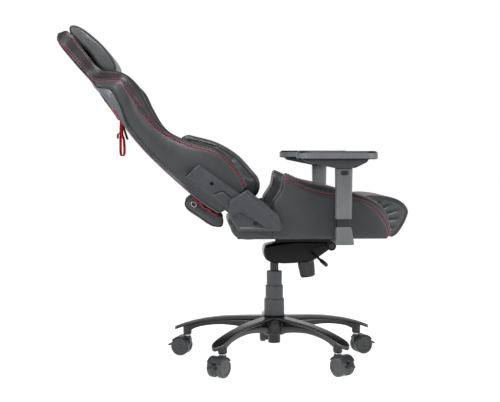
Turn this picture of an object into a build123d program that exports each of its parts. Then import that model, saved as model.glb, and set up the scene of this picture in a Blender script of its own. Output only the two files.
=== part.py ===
"""Reclining gaming chair on a five-star caster base, drawn in the pose with its back laid down.

Millimetres. +X is the front of the chair, +Y its left side, +Z up.
The origin is on the floor under the gas lift.
"""
import os
from math import cos, pi, radians, sin, tan

from build123d import *

os.makedirs("parts", exist_ok=True)

# Clearances
running_gap = 0.05  # radial, on shafts and pins that turn
press_gap = 0.02  # radial, on seats that hold
slide_gap = 0.3  # between bodies that slide past each other
soft_gap = 0.6  # between cushions and what they touch

# Casters
arm_count = 5
first_arm_angle = 18
stem_circle_radius = 305
wheel_radius = 31
wheel_width = 20
caster_trail = 20
caster_web_width = 14
caster_fender_gap = 1.3
caster_fender_wall = 2.2
caster_axle_radius = 3
stem_radius = 5.5
stem_spindle_radius = 4
stem_collar_radius = 9
stem_grip = 28
stem_spindle = 34
pedal_arm_width = 7
pedal_width = 26
pedal_pin_radius = 2

# Star base
neck_bottom = 70
neck_radius = 18.5
neck_height = 31
hub_top = 152
hub_bottom = 86
hub_radius = 47
arm_tip_radius = 349
arm_half_width = 23
arm_flange = 11
arm_web = 14

# Gas lift and its covers
lift_tube_radius = 22
lift_end_radius = 20
lift_bottom = 58
lift_floor = 6
lift_tube_top = 200
lift_taper = 34
bearing_radius = 12
bearing_height = 6
lift_cylinder_radius = 14
lift_bore_radius = 10
lift_rod_radius = 5
lift_stroke = 80
cover_wall = 1.6
cover_step = 3.9  # radial step from one cover to the next
cover_lower_radius = 33.6
cover_lower_top = 206
cover_middle_top = 250
cover_upper_top = 298
cover_overlap = 16

# Tilt mechanism
housing_half_width = 52
housing_bottom = 316
housing_top = 402
tilt_pivot_x = 184
tilt_pivot_z = 384
tilt_pin_radius = 6
tilt_ear_inner = 55
tilt_ear_wall = 4
tilt_ear_radius = 15
spring_wire_radius = 2
spring_mean_radius = 10.5
spring_pitch = 6
spring_turns = 6
spring_half_room = 22
knob_x = 104
knob_floor_z = 332.2
knob_lean = 8.8
knob_radius = 25
knob_length = 56
knob_collar = 5
knob_taper = 4
knob_flutes = 14
knob_stub_radius = 6
knob_stub = 12
lever_x = 121
lever_pivot_y = 46
lever_pivot_z = 361.5
lever_end_x = 143
lever_end_y = 240
lever_end_z = 343
lever_radius = 4
lever_barrel = 6
lever_pin_radius = 3
lever_grip = 62

# Seat
seat_bottom = 425
pan_thickness = 12
pan_half_width = 235
pan_front = 335
pan_rear = -132
plate_thickness = 3
plate_half_width = 88
plate_lip = 24
plate_rear = -4
plate_front = 203
pad_half_width = 168
pad_rear = -66
pad_rear_top = 494
pad_crest = 293
pad_crest_top = 553
pad_nose = 412
skirt_top = 459
skirt_rear = -152
bolster_half_width = 262
bolster_nose = 341
bolster_rear = -29
bolster_peak = 18
bolster_top = 627

# Recliner: the back lies at its lowest stop and comes up by recline_travel
pivot_x = -93
pivot_z = 501
back_lean = 46  # of the back's own line over the horizontal, as drawn
shaft_radius = 8
ear_outer = 248
ear_wall = 5
ear_front = -44
ear_radius = 22
back_arm_wall = 5
back_arm_gap = 1
back_arm_width = 40
back_arm_length = 215
bracket_depth = 18
bracket_bevel = 5
bracket_knuckle = 34
hinge_cover_gap = 2
hinge_cover_depth = 18
hinge_cover_bevel = 6
hinge_cover_floor = 452
hinge_cover_leg_top = 457
cover_screw_x = -78
cover_screw_z = 477
cover_screw_radius = 4
cover_screw_head = 3
cover_screw_sink = 6
lever_boss_radius = 9
lever_boss_depth = 10
recline_lever_wall = 8

# Back
back_start = 60
frame_tube_radius = 8
frame_half_width = 118
frame_top = 535
panel_depth = 12.75
panel_crown = 3
pillow_half_width = 125
lumbar_half_width = 142
pouch_half_width = 105
strap_along = 498
strap_fold = 4
strap_web = 2.4
strap_width = 26
strap_drop = 116
strap_loop = 66
strap_loop_gap = 7

# Armrests
arm_post_x = 186
arm_post_y = 310
post_length = 40
post_width = 22
post_corner = 4
post_wall = 2.5
post_top = 600
sleeve_bottom = 491
sleeve_top = 645
sleeve_length_top = 56
sleeve_length_bottom = 48
sleeve_width_top = 40
sleeve_width_bottom = 32
sleeve_roof = 12
foot_top = 466
foot_width = 28
arm_bar_height = 13
arm_bar_inner = 150
button_z = 630
button_length = 24
button_width = 12
button_proud = 2.5
button_travel = 2.5
button_depth = 6
button_gap = 0.1
carrier_top = 677
carrier_length = 198
carrier_x = 159
carrier_width = 60
spigot_radius = 9
spigot_depth = 8
rail_width = 30
rail_height = 6
rest_length = 247
rest_x = 166
rest_width = 95
rest_thickness = 25
rest_travel = 25

# Directions of the reclined back: up along it, and out of its front
up_x = -cos(radians(back_lean))
up_z = sin(radians(back_lean))
out_x = sin(radians(back_lean))
out_z = cos(radians(back_lean))

# The tension knob's own plane on the slanted floor of the mechanism, with local z pointing down
knob_plane = Plane(
    origin=(knob_x, 0, knob_floor_z),
    x_dir=(cos(radians(knob_lean)), 0, sin(radians(knob_lean))),
    z_dir=(sin(radians(knob_lean)), 0, -cos(radians(knob_lean))),
)


def back_side(y):
    """Plane of the back's side view at a given y: local x runs up the back, local y out of its front."""
    return Plane(origin=(pivot_x, y, pivot_z), x_dir=(up_x, 0, up_z), z_dir=(0, 1, 0))


def back_cut(along):
    """Plane across the back at a height along it: local x runs to the right, local y out of its front."""
    origin = (pivot_x + along * up_x, 0, pivot_z + along * up_z)
    return Plane(origin=origin, x_dir=(0, -1, 0), z_dir=(up_x, 0, up_z))


def side_view(y):
    """Plane of the chair's side view at a given y: local x is X, local y is Z."""
    return Plane(origin=(0, y, 0), x_dir=(1, 0, 0), z_dir=(0, -1, 0))


# Casters, drawn along +X and then turned to their arms
hood_radius = wheel_radius + caster_fender_gap + caster_fender_wall
hood_top = wheel_radius + hood_radius
wheel_inner = caster_web_width / 2 + slide_gap
axle_x = stem_circle_radius + caster_trail
pedal_pin_x = axle_x + 24
pedal_pin_z = wheel_radius + 8

with BuildPart() as hood:
    with BuildSketch(Plane.XZ) as web:
        with Locations((axle_x, wheel_radius)):
            Circle(wheel_radius - 2)
        with Locations((stem_circle_radius, wheel_radius + 20)):
            Rectangle(22, 26)
        with Locations((axle_x, 0)):
            Rectangle(4 * wheel_radius, 16, mode=Mode.SUBTRACT)
    extrude(amount=caster_web_width / 2, both=True)
    with BuildSketch(Plane.XZ) as fender:
        with Locations((axle_x, wheel_radius)):
            Circle(hood_radius)
            Circle(hood_radius - caster_fender_wall, mode=Mode.SUBTRACT)
        with Locations((axle_x, wheel_radius + 18)):
            Rectangle(3 * hood_radius, 72, align=(Align.CENTER, Align.MAX), mode=Mode.SUBTRACT)
    extrude(amount=wheel_inner + wheel_width - 2, both=True)
    with BuildSketch(Plane.XY.offset(hood_top - 8)):
        with Locations((stem_circle_radius, 0)):
            Circle(12)
    extrude(amount=8)
    for side in (-1, 1):
        with Locations((axle_x, side * (wheel_inner + wheel_width / 2), wheel_radius)):
            Cylinder(
                wheel_radius + caster_fender_gap, wheel_width + 2 * slide_gap,
                rotation=(90, 0, 0), mode=Mode.SUBTRACT,
            )
    with Locations((stem_circle_radius, 0, hood_top)):
        Hole(stem_spindle_radius + running_gap, stem_spindle + 1)
    with Locations((axle_x, 0, wheel_radius)):
        Cylinder(caster_axle_radius + running_gap, caster_web_width, rotation=(90, 0, 0), mode=Mode.SUBTRACT)
    with Locations((pedal_pin_x + 6, 0, pedal_pin_z)):
        Box(24, pedal_arm_width + 2 * slide_gap, 16, mode=Mode.SUBTRACT)
    with Locations((pedal_pin_x, 0, pedal_pin_z)):
        Cylinder(pedal_pin_radius + running_gap, caster_web_width, rotation=(90, 0, 0), mode=Mode.SUBTRACT)

with BuildPart() as wheels:
    with BuildSketch(Plane.XY) as tread:
        with BuildLine():
            Polyline(
                (caster_axle_radius, wheel_inner), (wheel_radius - 3, wheel_inner),
                (wheel_radius, wheel_inner + 3), (wheel_radius, wheel_inner + wheel_width - 4),
                (wheel_radius - 4, wheel_inner + wheel_width), (wheel_radius - 9, wheel_inner + wheel_width),
                (wheel_radius - 11, wheel_inner + wheel_width - 2), (8, wheel_inner + wheel_width - 2),
                (6, wheel_inner + wheel_width), (caster_axle_radius, wheel_inner + wheel_width), close=True,
            )
        make_face()
    revolve(axis=Axis.Y)
    mirror(about=Plane.XZ)
    Cylinder(caster_axle_radius, 2 * (wheel_inner + wheel_width), rotation=(90, 0, 0))

with BuildPart() as pedal:
    with BuildSketch(Plane.XZ) as pedal_side:
        with BuildLine():
            Polyline(
                (pedal_pin_x - 4, pedal_pin_z - 4), (axle_x + hood_radius, pedal_pin_z - 6),
                (axle_x + hood_radius, pedal_pin_z + 3), (pedal_pin_x - 4, pedal_pin_z + 4), close=True,
            )
        make_face()
    extrude(amount=pedal_arm_width / 2, both=True)
    with BuildSketch(Plane.XZ) as pedal_tread:
        with BuildLine():
            Polyline(
                (axle_x + hood_radius - 1, pedal_pin_z - 6), (axle_x + hood_radius + 10, pedal_pin_z - 9),
                (axle_x + hood_radius + 11, pedal_pin_z - 4), (axle_x + hood_radius - 1, pedal_pin_z + 3),
                close=True,
            )
        make_face()
    extrude(amount=pedal_width / 2, both=True)
    with Locations((pedal_pin_x, 0, pedal_pin_z)):
        Cylinder(pedal_pin_radius, caster_web_width, rotation=(90, 0, 0))

for number in range(arm_count):
    turn = Location((0, 0, 0), (0, 0, first_arm_angle + number * 360 / arm_count))
    with BuildPart() as caster_hood:
        with Locations(turn):
            add(hood.part)
    caster_hood.part.label = f"caster_hood_{number + 1}"
    export_step(caster_hood.part, f"parts/caster_hood_{number + 1}.step")
    with BuildPart() as caster_wheels:
        with Locations(turn * Location((axle_x, 0, wheel_radius))):
            add(wheels.part)
    caster_wheels.part.label = f"caster_wheels_{number + 1}"
    export_step(caster_wheels.part, f"parts/caster_wheels_{number + 1}.step")
    with BuildPart() as caster_brake:
        with Locations(turn):
            add(pedal.part)
    caster_brake.part.label = f"caster_brake_{number + 1}"
    export_step(caster_brake.part, f"parts/caster_brake_{number + 1}.step")

# Stems: one grip pin per caster, held in the base
stem_collar_bottom = hood_top + slide_gap

with BuildPart() as caster_stems:
    with PolarLocations(stem_circle_radius, arm_count, first_arm_angle):
        with Locations((0, 0, stem_collar_bottom)):
            Cylinder(
                stem_collar_radius, neck_bottom - stem_collar_bottom,
                align=(Align.CENTER, Align.CENTER, Align.MIN),
            )
        with Locations((0, 0, neck_bottom)):
            Cylinder(stem_radius, stem_grip, align=(Align.CENTER, Align.CENTER, Align.MIN))
        with Locations((0, 0, stem_collar_bottom)):
            Cylinder(stem_spindle_radius, stem_spindle, align=(Align.CENTER, Align.CENTER, Align.MAX))
caster_stems.part.label = "caster_stems"
export_step(caster_stems.part, "parts/caster_stems.step")

# Star base: a leaf-shaped arm with a web under it, set five times round the hub
with BuildPart() as arm:
    with BuildSketch(Plane.XZ) as flange_side:
        with BuildLine():
            crest = Spline((30, 143), (173, 134), (264, 119), (328, 99))
            ThreePointArc(crest @ 1, (arm_tip_radius - 5, 89), (arm_tip_radius, 76))
            Line((arm_tip_radius, 76), (arm_tip_radius - 10, 76))
            belly = Spline(
                (arm_tip_radius - 10, 76), (312, 93), (264, 119 - arm_flange),
                (173, 134 - arm_flange), (30, 132),
            )
            Line(belly @ 1, crest @ 0)
        make_face()
    extrude(amount=2 * arm_half_width, both=True)
    with BuildSketch(Plane.XY) as leaf:
        with BuildLine():
            edge = Spline((30, arm_half_width - 2), (170, arm_half_width - 4), (318, arm_half_width))
            ThreePointArc(edge @ 1, (arm_tip_radius, 0), (318, -arm_half_width))
            mirror(edge, about=Plane.XZ)
            Line((30, 2 - arm_half_width), (30, arm_half_width - 2))
        make_face()
    extrude(amount=hub_top, mode=Mode.INTERSECT)
    fillet(arm.faces().sort_by(Axis.Z)[-1].edges(), 3)
    with BuildSketch(Plane.XZ) as web_side:
        with BuildLine():
            Polyline(
                (30, 138), (173, 129), (264, 114), (316, 97),
                (316, neck_bottom + 6), (288, neck_bottom + 6),
            )
            ThreePointArc((288, neck_bottom + 6), (190, 109), (30, hub_bottom + 4))
            Line((30, hub_bottom + 4), (30, 138))
        make_face()
    extrude(amount=arm_web / 2, both=True)
    with Locations((stem_circle_radius, 0, neck_bottom)):
        Cylinder(neck_radius, neck_height, align=(Align.CENTER, Align.CENTER, Align.MIN))
        Cylinder(
            stem_radius + press_gap, stem_grip + 1,
            align=(Align.CENTER, Align.CENTER, Align.MIN), mode=Mode.SUBTRACT,
        )

with BuildPart() as star_base:
    with PolarLocations(0, arm_count, first_arm_angle):
        add(arm.part)
    with BuildSketch(Plane.XZ) as hub:
        with BuildLine():
            Polyline((0, hub_bottom), (hub_radius - 12, hub_bottom), (hub_radius - 4, hub_bottom + 12))
            ThreePointArc((hub_radius - 4, hub_bottom + 12), (hub_radius, 122), (hub_radius - 3, 140))
            ThreePointArc((hub_radius - 3, 140), (hub_radius - 6, hub_top - 4), (hub_radius - 11, hub_top))
            Polyline((hub_radius - 11, hub_top), (0, hub_top), (0, hub_bottom))
        make_face()
    revolve(axis=Axis.Z)
    with Locations((0, 0, hub_bottom)):
        Cone(
            lift_tube_radius - 1 + press_gap, lift_tube_radius + press_gap, hub_top - hub_bottom,
            align=(Align.CENTER, Align.CENTER, Align.MIN), mode=Mode.SUBTRACT,
        )
star_base.part.label = "star_base"
export_step(star_base.part, "parts/star_base.step")

# Gas lift: tapered outer tube, thrust bearing, rod that swivels on it, cylinder that slides on the rod
bearing_bottom = lift_bottom + lift_floor
bearing_top = bearing_bottom + bearing_height
cylinder_bottom = bearing_top + lift_stroke + 15
cylinder_bore_top = housing_bottom + 14
piston_bottom = cylinder_bottom + 22

with BuildPart() as lift_outer_tube:
    with BuildSketch(Plane.XZ) as tube_wall:
        with BuildLine():
            Polyline(
                (lift_rod_radius + running_gap, lift_bottom), (lift_end_radius, lift_bottom),
                (lift_end_radius, hub_bottom), (lift_tube_radius - 1, hub_bottom),
                (lift_tube_radius, hub_top), (lift_tube_radius, lift_tube_top),
                (lift_cylinder_radius + running_gap, lift_tube_top),
                (lift_cylinder_radius + running_gap, lift_tube_top - 16),
                (lift_tube_radius - 4, lift_tube_top - 20), (lift_tube_radius - 4, bearing_bottom),
                (lift_rod_radius + running_gap, bearing_bottom), close=True,
            )
        make_face()
    revolve(axis=Axis.Z)
lift_outer_tube.part.label = "lift_outer_tube"
export_step(lift_outer_tube.part, "parts/lift_outer_tube.step")

with BuildPart() as lift_thrust_bearing:
    with Locations((0, 0, bearing_bottom)):
        Cylinder(bearing_radius, bearing_height, align=(Align.CENTER, Align.CENTER, Align.MIN))
        Cylinder(
            lift_rod_radius + running_gap, bearing_height,
            align=(Align.CENTER, Align.CENTER, Align.MIN), mode=Mode.SUBTRACT,
        )
lift_thrust_bearing.part.label = "lift_thrust_bearing"
export_step(lift_thrust_bearing.part, "parts/lift_thrust_bearing.step")

with BuildPart() as lift_piston_rod:
    with BuildSketch(Plane.XZ) as rod_half:
        with BuildLine():
            Polyline(
                (0, lift_bottom), (lift_rod_radius, lift_bottom),
                (lift_rod_radius, bearing_top + running_gap),
                (bearing_radius - 2, bearing_top + running_gap), (bearing_radius - 2, bearing_top + 3),
                (lift_rod_radius, bearing_top + 3), (lift_rod_radius, piston_bottom),
                (lift_bore_radius - running_gap, piston_bottom),
                (lift_bore_radius - running_gap, piston_bottom + 8), (0, piston_bottom + 8), close=True,
            )
        make_face()
    revolve(axis=Axis.Z)
lift_piston_rod.part.label = "lift_piston_rod"
export_step(lift_piston_rod.part, "parts/lift_piston_rod.step")

with BuildPart() as lift_cylinder:
    with BuildSketch(Plane.XZ) as cylinder_wall:
        with BuildLine():
            Polyline(
                (lift_rod_radius + running_gap, cylinder_bottom), (lift_cylinder_radius, cylinder_bottom),
                (lift_cylinder_radius, housing_bottom),
                (lift_cylinder_radius - 1, housing_bottom + lift_taper),
                (4, housing_bottom + lift_taper), (4, housing_bottom + lift_taper + 6),
                (0, housing_bottom + lift_taper + 6), (0, cylinder_bore_top),
                (lift_bore_radius, cylinder_bore_top), (lift_bore_radius, cylinder_bottom + 7),
                (lift_rod_radius + running_gap, cylinder_bottom + 7), close=True,
            )
        make_face()
    revolve(axis=Axis.Z)
lift_cylinder.part.label = "lift_cylinder"
export_step(lift_cylinder.part, "parts/lift_cylinder.step")

# Telescopic covers, widest at the bottom, each with a lip that keeps the next one's foot
cover_middle_radius = cover_lower_radius - cover_step
cover_upper_radius = cover_middle_radius - cover_step

with BuildPart() as cover_lower:
    with BuildSketch(Plane.XZ) as lower_wall:
        with BuildLine():
            Polyline(
                (cover_lower_radius - cover_wall, hub_top), (cover_lower_radius + 0.6, hub_top),
                (cover_lower_radius, cover_lower_top - 2), (cover_lower_radius - 1, cover_lower_top),
                (cover_middle_radius + slide_gap, cover_lower_top),
                (cover_middle_radius + slide_gap, cover_lower_top - 2),
                (cover_lower_radius - cover_wall, cover_lower_top - 2), close=True,
            )
        make_face()
    revolve(axis=Axis.Z)
cover_lower.part.label = "cover_lower"
export_step(cover_lower.part, "parts/cover_lower.step")

with BuildPart() as cover_middle:
    with BuildSketch(Plane.XZ) as middle_wall:
        with BuildLine():
            foot = cover_lower_top - cover_overlap
            Polyline(
                (cover_middle_radius - cover_wall, foot), (cover_lower_radius - cover_wall - slide_gap, foot),
                (cover_lower_radius - cover_wall - slide_gap, foot + 2), (cover_middle_radius, foot + 2),
                (cover_middle_radius, cover_middle_top - 2), (cover_middle_radius - 1, cover_middle_top),
                (cover_upper_radius + slide_gap, cover_middle_top),
                (cover_upper_radius + slide_gap, cover_middle_top - 2),
                (cover_middle_radius - cover_wall, cover_middle_top - 2), close=True,
            )
        make_face()
    revolve(axis=Axis.Z)
cover_middle.part.label = "cover_middle"
export_step(cover_middle.part, "parts/cover_middle.step")

with BuildPart() as cover_upper:
    with BuildSketch(Plane.XZ) as upper_wall:
        with BuildLine():
            foot = cover_middle_top - cover_overlap
            Polyline(
                (cover_upper_radius - cover_wall, foot), (cover_middle_radius - cover_wall - slide_gap, foot),
                (cover_middle_radius - cover_wall - slide_gap, foot + 2), (cover_upper_radius, foot + 2),
                (cover_upper_radius, cover_upper_top - 2), (cover_upper_radius - 1, cover_upper_top),
                (lift_cylinder_radius + slide_gap, cover_upper_top),
                (lift_cylinder_radius + slide_gap, cover_upper_top - 2),
                (cover_upper_radius - cover_wall, cover_upper_top - 2), close=True,
            )
        make_face()
    revolve(axis=Axis.Z)
cover_upper.part.label = "cover_upper"
export_step(cover_upper.part, "parts/cover_upper.step")

# Tilt mechanism: a housing on the lift, a pivot pin at its front and the plate that carries the seat
floor_slope = tan(radians(knob_lean))
housing_floor = (knob_x - 38, knob_floor_z - 38 * floor_slope)
housing_keel = (knob_x + 26, knob_floor_z + 26 * floor_slope)
spring_room = spring_mean_radius + spring_wire_radius + 1

with BuildPart() as tilt_housing:
    with BuildSketch(side_view(0)) as housing_side:
        with BuildLine():
            Polyline(
                (-30, housing_top - 18), (-36, housing_top - 38), (-19, housing_bottom + 12),
                (0, housing_bottom), (30, housing_bottom), housing_floor, housing_keel,
                (150, 347), (192, 367), (206, 386), (204, housing_top), (62, housing_top), close=True,
            )
        make_face()
        fillet(housing_side.vertices(), 5)
    extrude(amount=housing_half_width, both=True)
    fillet(tilt_housing.faces().filter_by(Axis.Y).edges(), 3)
    with Locations((tilt_pivot_x, 0, tilt_pivot_z)):
        Cylinder(spring_room, 2 * spring_half_room, rotation=(90, 0, 0), mode=Mode.SUBTRACT)
        Cylinder(tilt_pin_radius + press_gap, 2 * housing_half_width, rotation=(90, 0, 0), mode=Mode.SUBTRACT)
    with Locations((0, 0, housing_bottom)):
        Cone(
            lift_cylinder_radius + press_gap, lift_cylinder_radius - 1 + press_gap, lift_taper,
            align=(Align.CENTER, Align.CENTER, Align.MIN), mode=Mode.SUBTRACT,
        )
        Cylinder(5, lift_taper + 12, align=(Align.CENTER, Align.CENTER, Align.MIN), mode=Mode.SUBTRACT)
    with Locations((lever_x, -housing_half_width, lever_pivot_z)):
        Box(
            2 * lever_barrel + 2 * slide_gap, 2 * (housing_half_width - lever_pivot_y + lever_barrel + 2),
            4 * lever_barrel, mode=Mode.SUBTRACT,
        )
    with Locations((lever_x, -lever_pivot_y, lever_pivot_z)):
        Cylinder(lever_pin_radius + running_gap, 4 * lever_barrel, rotation=(0, 90, 0), mode=Mode.SUBTRACT)
    with Locations(Location(knob_plane)):
        Cylinder(knob_stub_radius + running_gap, 2 * knob_stub + 2, mode=Mode.SUBTRACT)
tilt_housing.part.label = "tilt_housing"
export_step(tilt_housing.part, "parts/tilt_housing.step")

pin_reach = tilt_ear_inner + tilt_ear_wall + slide_gap

with BuildPart() as tilt_pivot_pin:
    with Locations((tilt_pivot_x, 0, tilt_pivot_z)):
        Cylinder(tilt_pin_radius, 2 * pin_reach, rotation=(90, 0, 0))
    for side in (-1, 1):
        with Locations((tilt_pivot_x, side * (pin_reach + 1.5), tilt_pivot_z)):
            Cylinder(tilt_pin_radius + 3, 3, rotation=(90, 0, 0))
tilt_pivot_pin.part.label = "tilt_pivot_pin"
export_step(tilt_pivot_pin.part, "parts/tilt_pivot_pin.step")

spring_half = spring_turns * spring_pitch / 2


def spring_point(half_turns):
    """Point of the coil after a number of half turns, starting at the coil's right end."""
    angle = half_turns * pi
    return (
        tilt_pivot_x + spring_mean_radius * cos(angle),
        half_turns * spring_pitch / 2 - spring_half,
        tilt_pivot_z + spring_mean_radius * sin(angle),
    )


with BuildPart() as tilt_spring:
    with BuildLine() as coil:
        for half_turn in range(2 * spring_turns):
            ThreePointArc(spring_point(half_turn), spring_point(half_turn + 0.5), spring_point(half_turn + 1))
    with BuildSketch(Plane(origin=coil.line @ 0, z_dir=coil.line % 0)):
        Circle(spring_wire_radius)
    sweep(path=coil.line)
tilt_spring.part.label = "tilt_spring"
export_step(tilt_spring.part, "parts/tilt_spring.step")

with BuildPart(knob_plane) as tension_knob:
    with Locations((0, 0, slide_gap)):
        Cylinder(knob_radius + 2, knob_collar, align=(Align.CENTER, Align.CENTER, Align.MIN))
        Cylinder(knob_stub_radius, knob_stub, align=(Align.CENTER, Align.CENTER, Align.MAX))
    with Locations((0, 0, slide_gap + knob_collar)):
        Cone(
            knob_radius, knob_radius - knob_taper, knob_length - knob_collar,
            align=(Align.CENTER, Align.CENTER, Align.MIN),
        )
    fillet(tension_knob.faces().sort_by(Axis.Z)[0].edges(), 6)
    with Locations((0, 0, slide_gap + knob_collar)):
        with PolarLocations(knob_radius + 0.8, knob_flutes):
            Cylinder(2.4, knob_length, align=(Align.CENTER, Align.CENTER, Align.MIN), mode=Mode.SUBTRACT)
tension_knob.part.label = "tension_knob"
export_step(tension_knob.part, "parts/tension_knob.step")

lever_run = Vector(lever_end_x - lever_x, lever_pivot_y - lever_end_y, lever_end_z - lever_pivot_z)
lever_plane = Plane(origin=(lever_x, -lever_pivot_y, lever_pivot_z), z_dir=lever_run)

with BuildPart(lever_plane) as lift_lever:
    Cylinder(lever_radius, lever_run.length - 2, align=(Align.CENTER, Align.CENTER, Align.MIN))
    with Locations((0, 0, lever_run.length - lever_grip)):
        Cylinder(lever_radius + 2.5, lever_grip, align=(Align.CENTER, Align.CENTER, Align.MIN))
    fillet(lift_lever.edges().filter_by(GeomType.CIRCLE).sort_by(Axis.Y)[:2], 2)
    with BuildSketch(Plane(origin=lever_plane.origin, z_dir=(1, 0, 0))):
        Circle(lever_barrel)
    extrude(amount=lever_barrel, both=True)
    with BuildSketch(Plane(origin=lever_plane.origin, z_dir=(1, 0, 0))):
        Circle(lever_pin_radius)
    extrude(amount=2 * lever_barrel, both=True)
lift_lever.part.label = "lift_lever"
export_step(lift_lever.part, "parts/lift_lever.step")

with BuildPart() as seat_plate:
    with BuildSketch(Plane.YZ.offset(plate_rear)) as channel:
        with Locations((0, seat_bottom)):
            Rectangle(2 * plate_half_width, plate_thickness, align=(Align.CENTER, Align.MAX))
        for side in (-1, 1):
            with Locations((side * (plate_half_width - plate_thickness / 2), seat_bottom)):
                Rectangle(plate_thickness, plate_lip, align=(Align.CENTER, Align.MAX))
    extrude(amount=plate_front - plate_rear)
    for side in (-1, 1):
        with BuildSketch(side_view(side * (tilt_ear_inner + tilt_ear_wall / 2))) as ear:
            with Locations((tilt_pivot_x, tilt_pivot_z)):
                Circle(tilt_ear_radius)
            with Locations((tilt_pivot_x, seat_bottom - plate_thickness)):
                Rectangle(
                    2 * tilt_ear_radius, seat_bottom - plate_thickness - tilt_pivot_z,
                    align=(Align.CENTER, Align.MAX),
                )
        extrude(amount=tilt_ear_wall / 2, both=True)
    with Locations((tilt_pivot_x, 0, tilt_pivot_z)):
        Cylinder(tilt_pin_radius + running_gap, 2 * pin_reach, rotation=(90, 0, 0), mode=Mode.SUBTRACT)
seat_plate.part.label = "seat_plate"
export_step(seat_plate.part, "parts/seat_plate.step")

# Seat pan: a flat board with two steel ears that carry the recliner shaft
pan_top = seat_bottom + pan_thickness

with BuildPart() as seat_pan:
    with BuildSketch(Plane.XY.offset(seat_bottom)) as board:
        with BuildLine():
            Polyline(
                (pan_front, -pan_half_width), (pan_front, pan_half_width), (ear_front, pan_half_width),
                (ear_front, ear_outer), (pan_rear, ear_outer), (pan_rear, -ear_outer),
                (ear_front, -ear_outer), (ear_front, -pan_half_width), close=True,
            )
        make_face()
        fillet(board.vertices().sort_by(Axis.X)[-2:], 40)
    extrude(amount=pan_thickness)
    for side in (-1, 1):
        with BuildSketch(side_view(side * (ear_outer - ear_wall / 2))) as pan_ear:
            with BuildLine():
                Polyline(
                    (pan_rear, seat_bottom), (ear_front, seat_bottom), (pivot_x + ear_radius, pivot_z),
                    (pivot_x - ear_radius, pivot_z), close=True,
                )
            make_face()
            with Locations((pivot_x, pivot_z)):
                Circle(ear_radius)
        extrude(amount=ear_wall / 2, both=True)
    with Locations((pivot_x, 0, pivot_z)):
        Cylinder(shaft_radius + press_gap, 2 * ear_outer, rotation=(90, 0, 0), mode=Mode.SUBTRACT)
seat_pan.part.label = "seat_pan"
export_step(seat_pan.part, "parts/seat_pan.step")


def pad_section(y, drop):
    """Side outline of the seat pad at a given y, let down at its top and drawn in at its nose by drop."""
    with BuildSketch(side_view(y)) as section:
        with BuildLine():
            rear = Line((pad_rear, pan_top), (pad_rear, pad_rear_top - drop))
            top = ThreePointArc(rear @ 1, (120, 511 - drop), (pad_crest, pad_crest_top - drop))
            nose = ThreePointArc(top @ 1, (385 - drop, 541 - drop), (pad_nose - drop, 508 - drop))
            chin = ThreePointArc(nose @ 1, (402 - drop, 464 - drop / 2), (366, seat_bottom - 4))
            Polyline(
                chin @ 1, (pan_front + soft_gap, seat_bottom - 4), (pan_front + soft_gap, pan_top), rear @ 0,
            )
        make_face()
    return section.sketch.face()


pad_drops = ((pad_half_width, 22), (pad_half_width - 14, 9), (pad_half_width - 58, 2))
pad_stations = [(-y, drop) for y, drop in pad_drops] + [(0, 0)]
pad_stations += [(y, drop) for y, drop in reversed(pad_drops)]

with BuildPart() as seat_pad:
    loft([pad_section(y, drop) for y, drop in pad_stations])
    with BuildSketch(side_view(0)) as skirt_side:
        with BuildLine():
            Polyline(
                (pad_rear + 5, pan_top), (pad_rear + 5, skirt_top), (skirt_rear, skirt_top),
                (pan_rear, pan_top), close=True,
            )
        make_face()
    extrude(amount=pad_half_width - 14, both=True)
seat_pad.part.label = "seat_pad"
export_step(seat_pad.part, "parts/seat_pad.step")


def bolster_section(y, drop, draw):
    """Side outline of a seat bolster at a given y, let down by drop and drawn in at its ends by draw."""
    rear = bolster_rear + draw / 2
    nose = bolster_nose - draw
    with BuildSketch(side_view(y)) as section:
        with BuildLine():
            floor = Line((rear, seat_bottom), (nose - 20, seat_bottom))
            front = ThreePointArc(floor @ 1, (nose, 447), (nose - 17, 496 - drop))
            brow = ThreePointArc(front @ 1, (nose - 50, 531 - drop), (225, 558 - drop))
            rise = ThreePointArc(brow @ 1, (127, 579 - drop), (bolster_peak + draw / 2, bolster_top - drop))
            fall = ThreePointArc(rise @ 1, (rear + 27, 585 - drop / 2), (rear, 530 - drop / 3))
            Line(fall @ 1, floor @ 0)
        make_face()
    return section.sketch.face()


bolster_inner = pad_half_width + soft_gap
bolster_stations = (
    (bolster_inner, 44, 10), (bolster_inner + 27, 9, 3), (bolster_half_width - 40, 0, 0),
    (bolster_half_width - 16, 6, 2), (bolster_half_width - 1, 24, 9),
)

with BuildPart() as seat_bolster_right:
    loft([bolster_section(-y, drop, draw) for y, drop, draw in bolster_stations])
    with BuildSketch(side_view(-(bolster_inner + ear_outer - ear_wall - 2) / 2)) as bolster_skirt:
        with BuildLine():
            Polyline(
                (bolster_rear + 30, pan_top), (bolster_rear + 30, skirt_top), (skirt_rear, skirt_top),
                (pan_rear, pan_top), close=True,
            )
        make_face()
    extrude(amount=(ear_outer - ear_wall - 2 - bolster_inner) / 2, both=True)
    with Locations((pan_front + soft_gap, -pan_half_width - soft_gap, pan_top)):
        Box(
            2 * pan_front, 2 * pan_half_width, 2 * pan_thickness,
            align=(Align.MAX, Align.MIN, Align.MAX), mode=Mode.SUBTRACT,
        )
seat_bolster_right.part.label = "seat_bolster_right"
export_step(seat_bolster_right.part, "parts/seat_bolster_right.step")

with BuildPart() as seat_bolster_left:
    mirror(seat_bolster_right.part, about=Plane.XZ)
seat_bolster_left.part.label = "seat_bolster_left"
export_step(seat_bolster_left.part, "parts/seat_bolster_left.step")

# Recliner: shaft in the seat's ears, back arms on the shaft, plastic covers outside them
back_arm_inner = ear_outer + back_arm_gap
bracket_inner = back_arm_inner + back_arm_wall
bracket_outer = bracket_inner + bracket_depth
hinge_cover_inner = bracket_outer + hinge_cover_gap
hinge_cover_outer = hinge_cover_inner + hinge_cover_depth
shaft_head = 4

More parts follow.
